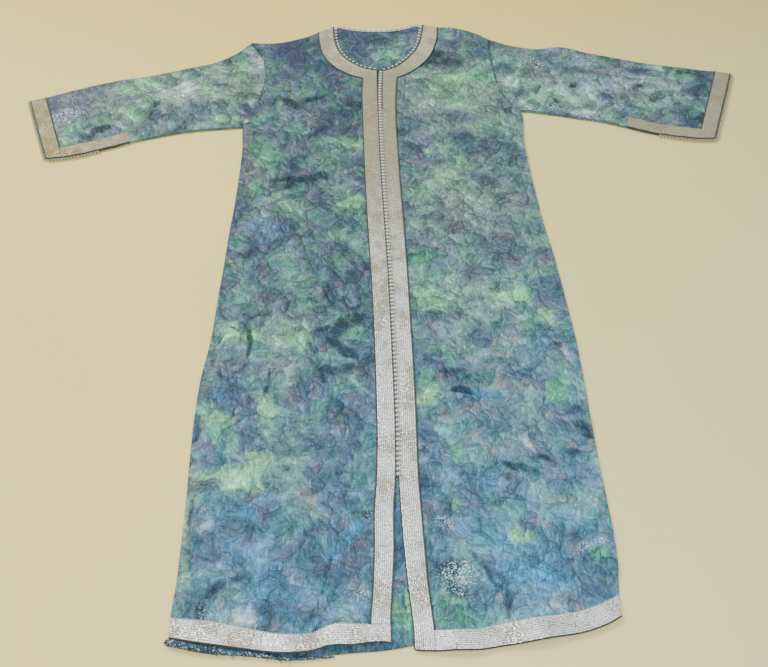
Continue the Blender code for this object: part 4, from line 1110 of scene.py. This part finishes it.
def ribbon_finish():
    """Silver ribbon: a beige base weave under ribs of silver thread, with
    painted shade in the furrows, painted glints where the metal crosses a rib,
    and a painted reflection that whitens it toward the hem."""
    made, m, sockets = new_material("silver_ribbon", sheen=0.05)
    place = m.node("ShaderNodeTexCoord", out="Object")
    x, y = place.xyz()[:2]
    across, along = m.node("ShaderNodeUVMap", {"uv_map": "cloth"}).xyz()[:2]
    woven = m.node("ShaderNodeCombineXYZ", {}, {0: 0.03 * across, 1: 0.7 * along})
    cloud = place.noise(20.0, 5.0, 0.62)
    # patches where the painted glints and the ribs' painted shade are strongest
    sheen_cloud = place.noise(75.0, 4.0, 0.6)
    fleck = woven.noise(420.0, 2.0)
    grain = place.noise(900.0, 1.0)
    rib = abs(m.maths("SINE", across * (RIBS * math.pi)))

    # the base weave: a painted reflection makes it whiter toward the hem, where the
    # silver catches the viewer's light, and darker and warmer toward the top; it is
    # warmer again at the neck and the cuffs. low is the share toward the hem, which
    # also strengthens the painted highlights, the ribs' painted shade, the dark
    # flecks and the glints
    low = y.between(0.35, -0.4)
    tone = y.between(0.3, -0.35).mix(rgb(164, 160, 128), rgb(222, 236, 232))
    tone = (y.between(0.5, 0.62) * (0.75 + 0.2 * x.between(0.05, -0.05))).mix(tone, rgb(212, 207, 174))
    tone = (x.between(-0.4, -0.6) * 0.95).mix(tone, rgb(134, 126, 68))
    tone = (x.between(0.4, 0.6) * 0.85).mix(tone, rgb(178, 174, 140))
    tone = (cloud.between(0.54, 0.4) * 0.75).mix(tone, rgb(164, 150, 120))
    # painted highlights: whiter patches toward the hem
    tone = (cloud.between(0.52, 0.62) * 0.8 * low).mix(tone, rgb(240, 248, 248))
    # painted shade in the furrows between the ribs, stronger toward the hem and in the sheen's patches
    tone = (rib.between(0.8, 0.1) * (0.2 + 0.75 * low) * (0.4 + sheen_cloud)).mix(tone, rgb(66, 72, 62))
    tone = (fleck.between(0.5, 0.36) * (0.15 + 0.35 * low)).mix(tone, rgb(84, 84, 72))

    # painted glints: white flecks along the ribs, in patches, along the rims and most toward the hem
    rim = abs(across - 0.5).between(0.42, 0.5)
    glint_strength = (1.5 * sheen_cloud.between(0.44, 0.58) + 0.3 * low + 0.3 * rim) * (0.22 + 0.78 * low)
    glint = (fleck.between(0.51, 0.57) * glint_strength).between(0.0, 1.0)
    tone = glint.mix(tone, rgb(255, 255, 252))
    give(m, sockets, Base_Color=tone, Metallic=0.3 + 0.35 * glint, Roughness=0.46 - 0.16 * glint,
         Normal=(fleck + 0.5 * grain).bump(0.0015, 0.4))
    return made


silver = ribbon_finish()


def resample(grid, rows, columns):
    """A grid of points read at other counts of rows and columns, in between by
    straight shares."""
    def along(values, count):
        """The same along one way of the grid."""
        at = np.linspace(0, len(values) - 1, count)
        k = np.clip(np.floor(at).astype(int), 0, len(values) - 2)
        t = (at - k).reshape((-1,) + (1,) * (values.ndim - 1))
        return values[k] * (1 - t) + values[k + 1] * t

    return along(along(grid, rows).transpose(1, 0, 2), columns).transpose(1, 0, 2)


def band(name, base, normal, pitch=5.0, trim=(0.0, 0.0)):
    """A ribbon over a strip of cloth. The grid's rows run along it and its
    columns across: each rib is half a sine wave, and a parabola rounds the rims
    down. trim moves each end on along the ribbon, by a high power of its share."""
    length = run_of(base[:, base.shape[1] // 2])[-1]
    rows = max(int(round(length / pitch)), 4)
    base = resample(base, rows, ACROSS)
    normal = resample(normal, rows, ACROSS)
    normal /= np.linalg.norm(normal, axis=2, keepdims=True)
    a = np.linspace(0, 1, ACROSS)[None, :, None]
    s = np.linspace(0, 1, rows)[:, None, None]
    way = base[-1] - base[0]
    way /= np.linalg.norm(way, axis=1, keepdims=True)
    base = base + way[None] * (trim[0] * (1 - s) ** 40 - trim[1] * s ** 40)
    rim = np.minimum(1, np.minimum(a, 1 - a) * 22)
    ribs = np.abs(np.sin(RIBS * math.pi * a))
    sole = WALL / 2 + CLEAR
    rise = sole + RIBBON * 0.66 + 0.34 * ribs - 0.3 * (1 - rim) ** 2
    uv = np.stack(np.broadcast_arrays(a[..., 0], s[..., 0] * length * MM), -1)
    return slab(name, base + normal * rise, base + normal * sole, silver, uv=uv)


for side, word in HALVES:
    surface, ribbon_row, corner_row = fronts[side]
    normal = facing(surface)
    strip = slice(-STRIP_COLUMNS, None)
    # at the left the hem's ribbon runs on to the front edge, and at the right the
    # front's ribbon runs on down to the hem
    foot = ribbon_row if side < 0 else 0
    front_band = band("front_ribbon_" + word, surface[foot:corner_row + 1, strip],
                      normal[foot:corner_row + 1, strip], trim=(SEAM_GAP, SEAM_GAP / 2))
    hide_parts("front_band_" + word)
    1.21 if side < 0 else 1.24
    neck_band = band("neck_ribbon_" + word, surface[corner_row:, strip], normal[corner_row:, strip],
                     pitch=4.0, trim=(SEAM_GAP / 2, 0.0))
    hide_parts("neck_band_" + word)
    span = slice(None) if side < 0 else slice(0, 1 - STRIP_COLUMNS)
    hem_band = band("hem_ribbon_" + word, surface[:ribbon_row + 1, span].transpose(1, 0, 2),
                    normal[:ribbon_row + 1, span].transpose(1, 0, 2),
                    trim=(0.0, 0.0 if side < 0 else SEAM_GAP))
    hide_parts("hem_band_" + word)
    0.31 if side < 0 else 0.26

    upper, cuff_row, slit_row = sleeves[side]
    normal = facing(upper)
    cuff = band("cuff_ribbon_" + word, upper[:cuff_row + 1].transpose(1, 0, 2),
                normal[:cuff_row + 1].transpose(1, 0, 2), pitch=4.0)
    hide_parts("cuff_band_" + word)
    slit_band = band("slit_ribbon_" + word, upper[cuff_row:slit_row + 1, :STRIP_COLUMNS],
                     normal[cuff_row:slit_row + 1, :STRIP_COLUMNS], pitch=4.0, trim=(SEAM_GAP, 0.0))


# The piping: a thin dark twisted cord sewn along the edges of the neck, front
# and cuff ribbons and along the hem, which draws the ribbons' outlines.
NECK_PIPING = 1.7     # radii
EDGE_PIPING = 0.9
PIPING = 1.3
PIPING_LEVEL = WALL / 2 + CLEAR + 0.75


def thread_finish(name, dark, light, twist, roughness):
    """Thread or cord: two tones in slanting turns, with a fine bump."""
    made, m, sockets = new_material(name, roughness=roughness, sheen=0.2)
    place = m.node("ShaderNodeTexCoord", out="Object")
    wave = m.node("ShaderNodeTexWave", {"bands_direction": "DIAGONAL"},
                  {"Vector": place, "Scale": twist, "Distortion": 2.0, "Detail": 1.0})
    fuzz = place.noise(700.0, 2.0)
    tone = (0.6 * wave + 0.4 * fuzz).between(0.3, 0.7).mix(dark, light)
    give(m, sockets, Base_Color=tone, Normal=(wave + 0.5 * fuzz).bump(0.0006, 0.5))
    return made


dark_cord = thread_finish("dark_cord", rgb(12, 24, 26), rgb(52, 66, 60), 240.0, 0.6)


def tube(path, radius, sides=6):
    """Points and faces of a round cord: a circle carried along a path, square
    to it, of one radius or of one for each point, with a face over each end."""
    way = np.gradient(path, axis=0)
    way /= np.maximum(np.linalg.norm(way, axis=1, keepdims=True), 1e-9)
    aside = np.cross(way, [0.0, 0.0, 1.0])
    aside /= np.maximum(np.linalg.norm(aside, axis=1, keepdims=True), 1e-9)
    up = np.cross(aside, way)
    a = np.arange(sides) * 2 * math.pi / sides
    ring = np.cos(a)[None, :, None] * aside[:, None] + np.sin(a)[None, :, None] * up[:, None]
    rings = path[:, None] + np.reshape(radius, (-1, 1, 1)) * ring
    index = np.arange(rings.shape[0] * sides).reshape(-1, sides)
    nxt = np.roll(index, -1, 1)
    faces = np.stack([index[:-1], nxt[:-1], nxt[1:], index[1:]], -1).reshape(-1, 4)[:, ::-1]
    return rings.reshape(-1, 3), faces, [index[0][None], index[-1][::-1][None]]


def joined(name, parts, finish, sharp=60.0, dyes=()):
    """One object from several sets of points and faces. dyes gives shares, the
    same all over it, of dyed patches and of painted light and shade."""
    points = []
    faces = []
    count = 0
    for own_points, own_faces, caps in parts:
        points.append(own_points)
        faces.append(own_faces + count)
        faces += [cap + count for cap in caps]
        count += len(own_points)
    masks = {word: np.full(count, share) for word, share in dyes}
    return piece(name, np.concatenate(points), faces, finish, masks, sharp=sharp)


def beside(grid, line, next_line):
    """A path along a grid's line, up on the ribbon's edge and 0.7 mm away from
    the next line, which lies under the ribbon."""
    path = grid[line] + facing(grid)[line] * PIPING_LEVEL
    inward = grid[next_line] - grid[line]
    inward /= np.linalg.norm(inward, axis=1, keepdims=True)
    return path - inward * 0.7


for side, word in HALVES:
    surface, ribbon_row, corner_row = fronts[side]
    upper, cuff_row, slit_row = sleeves[side]
    all_along = slice(None)
    neck = slice(corner_row, None)
    edge = slice(0, corner_row + 1)
    outer = slice(ribbon_row, None)
    past_slit = slice(STRIP_COLUMNS - 1, None)
    slit = slice(0, slit_row + 1)
    lines = [
        beside(surface, (neck, -1), (neck, -2)),
        beside(surface, (edge, -1), (edge, -2)),
        beside(surface, (outer, -STRIP_COLUMNS), (outer, 1 - STRIP_COLUMNS)),
        beside(surface, (0, all_along), (1, all_along)),
        beside(upper, (0, all_along), (1, all_along)),
        beside(upper, (cuff_row, past_slit), (cuff_row - 1, past_slit)),
        beside(upper, (slit, 0), (slit, 1)),
    ]
    radii = [NECK_PIPING, EDGE_PIPING] + [PIPING] * (len(lines) - 2)
    joined("piping_" + word, [tube(path, r) for path, r in zip(lines, radii)], dark_cord)


# The edgings: needle-made picots of pale thread in a file along the neckline,
# the back of the neck, the cuffs and their openings, each a small loop with a
# knot at its tip.
PICOT_PITCH = 11.0
CUFF_PICOT_PITCH = 6.2
EDGED_SHARE = 0.62    # of a cuff's opening, from the cuff up
pale_thread = thread_finish("pale_thread", rgb(196, 200, 180), rgb(255, 255, 246), 500.0, 0.6)
dull_thread = thread_finish("dull_thread", rgb(92, 92, 66), rgb(214, 210, 180), 300.0, 0.5)


def blob(radii, along, rings=6, sides=8):
    """A small ball by its latitudes and turns, with a radius for each axis, moved
    out along Y."""
    u, v = np.meshgrid(np.linspace(0.2, math.pi - 0.2, rings), np.arange(sides) * 2 * math.pi / sides,
                       indexing="ij")
    ball = np.stack([np.sin(u) * np.cos(v), np.sin(u) * np.sin(v), np.cos(u)], -1) * np.array(radii)
    ball[..., 1] += along
    index = np.arange(rings * sides).reshape(rings, sides)
    nxt = np.roll(index, -1, 1)
    faces = np.stack([index[:-1], index[1:], nxt[1:], nxt[:-1]], -1).reshape(-1, 4)
    return ball.reshape(-1, 3), faces, [index[0][None], index[-1][::-1][None]]


def picot_loop(reach):
    """One picot in its own frame, X along the edge and Y away from it: a tube
    round half an ellipse, and a bead at its tip."""
    a = np.linspace(0, math.pi, 8)
    path = np.stack([2.6 * np.cos(a), reach * 0.7 * np.sin(a), 0.3 * np.sin(a)], 1)
    return [tube(path, 0.8, 5), blob((2.4, reach * 0.32, 1.5), reach * 0.68)]


def repeated(template, path, count, away, start=0.5):
    """Copies of a template set out evenly along a path: its X follows the
    path, its Y points to one side and its Z up, all as whole arrays."""
    run = run_of(path)
    at = (np.arange(count) + start) / count * run[-1]
    spot = np.stack([np.interp(at, run, path[:, k]) for k in range(3)], 1)
    ahead = np.stack([np.interp(at + 2, run, path[:, k]) - np.interp(at - 2, run, path[:, k])
                      for k in range(2)], 1)
    ahead /= np.linalg.norm(ahead, axis=1, keepdims=True)
    aside = np.stack([-ahead[:, 1], ahead[:, 0]], 1) * away
    parts = []
    for own_points, own_faces, caps in template:
        size = len(own_points)
        plan = (spot[:, None, :2] + own_points[None, :, :1] * ahead[:, None]
                + own_points[None, :, 1:2] * aside[:, None])
        z = spot[:, None, 2:] + own_points[None, :, 2:]
        points = np.concatenate([plan, z], 2).reshape(-1, 3)
        shift = (np.arange(count) * size)[:, None, None]

        def spread(f):
            """Faces for every copy, turned round where the copies are mirrored."""
            turned = f[:, ::-1] if away < 0 else f
            return (turned[None] + shift).reshape(-1, f.shape[1])

        parts.append((points, spread(own_faces), [spread(cap) for cap in caps]))
    return parts


def edging(name, path, away, node, reach, pitch=PICOT_PITCH, thread=pale_thread):
    """A file of picots along a path, on a thin cord of their thread, with small
    dark beads between them that stand in for the shade in the gaps."""
    count = int(round(run_of(path)[-1] / pitch))
    parts = repeated(picot_loop(reach), path, count, away) + [tube(path, 0.8)]
    made = joined(name, parts, thread, sharp=80.0)
    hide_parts(node)
    # dark beads between the picots: painted shade in the gaps
    gap_shade = [blob((0.15 * pitch, reach * 0.36, 1.0), reach * 0.36)]
    joined(name + "_ground", repeated(gap_shade, path, count - 1, away, 1.0), dark_cord, sharp=80.0)


def offset_line(path, away, by):
    """A path moved sideways on the plan."""
    ahead = np.gradient(path[:, :2], axis=0)
    ahead /= np.linalg.norm(ahead, axis=1, keepdims=True)
    moved = path.copy()
    moved[:, 0] -= ahead[:, 1] * away * by
    moved[:, 1] += ahead[:, 0] * away * by
    return moved


for side, word in HALVES:
    surface, ribbon_row, corner_row = fronts[side]
    edging("neck_picots_" + word, offset_line(surface[corner_row:, -1], side, 1.4), side,
           "neck_edging_" + word, reach=7.0)
    upper, cuff_row, slit_row = sleeves[side]
    path = np.concatenate([upper[0, ::-1], upper[1:int(slit_row * EDGED_SHARE), 0]])
    edging("cuff_picots_" + word, offset_line(path, side, 1.4), side,
           "cuff_edging_" + word, reach=6.5, pitch=CUFF_PICOT_PITCH, thread=dull_thread)
# behind the neck the picots stand up a little over the back's own edge
collar = evenly(BACK_NECK, 60)
collar = np.concatenate([collar, np.full((60, 1), BACK_MID + 2.1)], 1)
edging("neck_picots_back", offset_line(collar, 1, -4.5), 1, "neck_edging_back", reach=8.0)


# The buttons: small knots of silver cord in a close file down the front, each
# held by a cord loop from the other edge, from the neckline to the slit.
BUTTON_PITCH = 8.7
BUTTON_TOP = 1246.0
BUTTON_END = 268.0
BUTTON_ASIDE = 2.2    # to the right of the middle between the edges
KNOT_HALF = 3.5       # half a knot's length across the front
KNOT_RADIUS = 2.3
silver_cord = thread_finish("silver_cord", rgb(178, 180, 156), rgb(250, 252, 240), 420.0, 0.4)


def knot():
    """One knot and its loop, X up the front and Y across it to the left: a ball
    drawn out across, with a wave of three wraps of cord on it, and a tube bent
    round it along an arc."""
    sides = 12
    u, v = np.meshgrid(np.linspace(0.06, math.pi - 0.06, 9), np.arange(sides) * 2 * math.pi / sides,
                       indexing="ij")
    swell = KNOT_RADIUS * (1 + 0.1 * np.cos(3 * v + 5 * np.cos(u)))
    ball = np.stack([np.sin(u) * np.cos(v) * swell, -KNOT_HALF * np.cos(u),
                     np.sin(u) * np.sin(v) * swell + KNOT_RADIUS], -1)
    index = np.arange(ball.shape[0] * sides).reshape(-1, sides)
    nxt = np.roll(index, -1, 1)
    faces = np.stack([index[:-1], index[1:], nxt[1:], nxt[:-1]], -1).reshape(-1, 4)
    caps = [index[0][::-1][None], index[-1][None]]
    a = np.linspace(-0.6 * math.pi, 0.6 * math.pi, 9)
    loop = np.stack([3.1 * np.sin(a), 1.6 + 2.7 * np.cos(a), np.full_like(a, 1.0)], 1)
    return [(ball.reshape(-1, 3), faces, caps), tube(loop, 0.6, 5)]


def button_line():
    """The middle of the knots: a little right of halfway between the front
    edges, on top of the ribbons at their highest."""
    y = np.linspace(BUTTON_END, BUTTON_TOP, 240)
    tops = []
    edges = []
    for side in (-1, 1):
        surface, ribbon_row, corner_row = fronts[side]
        line = surface[:corner_row + 1]
        for column in (-STRIP_COLUMNS, -1):
            tops.append(np.interp(y, line[:, column, 1], line[:, column, 2]))
        edges.append(np.interp(y, line[:, -1, 1], line[:, -1, 0]))
    x = (edges[0] + edges[1]) / 2 + BUTTON_ASIDE
    z = np.max(tops, axis=0) + WALL / 2 + CLEAR + RIBBON + 0.1
    return np.stack([x, y, z], 1)


line = button_line()
count = int(round((BUTTON_TOP - BUTTON_END) / BUTTON_PITCH))
knots = joined("knot_buttons", repeated(knot(), line, count, 1), silver_cord, sharp=80.0)
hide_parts("button_row")
# dark cords left of the knots and under them, and right of them near the neck:
# they stand in for the shade in the gap between the front edges and between
# the knots
knot_gap_shade = [tube(line - np.array([3.4, 0.0, 0.1]), 2.0),
                tube(line + np.array([-0.6, 0.0, -0.4]), 1.6),
                tube(line[line[:, 1] > 1120] + np.array([3.6, 0.0, 0.0]), 1.1)]
joined("button_gap_shade", knot_gap_shade, dark_cord)


# The hem of the back: rolled forward and overcast, so that a dark roll shows
# under the left front, with the ends of the sewing thread hanging from it.
THREADS = 11
roll_x = np.linspace(-321, -96, 50)
roll_x[:2] = (-320.5, -319)
# the roll's radius: full near the corner, and thin where it ends
roll_size = np.interp(roll_x, [-320.5, -319, -314, -290, -200, -96], [3.0, 4.5, 5.2, 4.8, 3.2, 1.2])
roll = np.stack([roll_x, follow(HEM, 1, roll_x) - 2.6, roll_size + 0.1], 1)
# the roll: dark teal, with painted glints
joined("hem_roll", [tube(roll, roll_size, 12)], brocade, dyes=(("deep_and_shade", 0.85), ("shine", 0.45)))

navy_thread = thread_finish("navy_thread", rgb(22, 34, 44), rgb(70, 90, 100), 300.0, 0.7)
chance = np.random.default_rng(4)
t = np.linspace(0, 1, 7)
ends = []
for at in chance.uniform(-318, -150, THREADS):
    bend = chance.uniform(-5, 5)
    reach = chance.uniform(1, 7)
    down = follow(HEM, 1, np.full_like(t, at)) - 3 - reach * t
    ends.append(tube(np.stack([at + bend * t ** 2, down, 1.2 - 0.6 * t], 1), 0.35, 5))
joined("hem_threads", ends, navy_thread)


# The sewing: slanting stitches of silver thread over the upper edge of the hem
# ribbons, the cord of the sleeves' lower seams, and the tuft left where the left
# one meets the side.
STITCH_PITCH = 3.7
stitch = np.stack([np.linspace(-1.0, 1.0, 5), np.linspace(-0.8, 0.8, 5), [0.0, 0.5, 0.6, 0.5, 0.0]], 1)
for side, word in HALVES:
    surface, ribbon_row, corner_row = fronts[side]
    seam = surface[ribbon_row, :-STRIP_COLUMNS] + np.array([0.0, 0.0, WALL / 2 + CLEAR + RIBBON * 0.6])
    count = int(run_of(seam)[-1] / STITCH_PITCH)
    joined("hem_stitches_" + word, repeated([tube(stitch, 0.5, 5)], seam, count, 1), silver_cord,
           sharp=80.0)
# a navy cord along each sleeve's lower seam, which also stands in for the shade under that edge
for side, word in HALVES:
    upper, cuff_row, slit_row = sleeves[side]
    seam = upper[int(slit_row * EDGED_SHARE):, 0] + np.array([0.0, -0.5, 0.1])
    joined("sleeve_seam_and_shade_" + word, [tube(seam, 0.9)], navy_thread)
# each of its threads is an arch that leans its own way from one point
TUFT = (-266, 1088, 6.5)
t = np.linspace(0, 1, 6)
tuft = []
for turn in np.radians([20, 48, 75, 100, 128, 160, 195]):
    path = np.stack([TUFT[0] + 7 * t * np.cos(turn), TUFT[1] + 9 * t * np.sin(turn),
                     TUFT[2] + 2.0 * np.sin(3 * t)], 1)
    tuft.append(tube(path, 0.7 - 0.3 * t, 5))
joined("armpit_tuft", tuft, pale_thread)
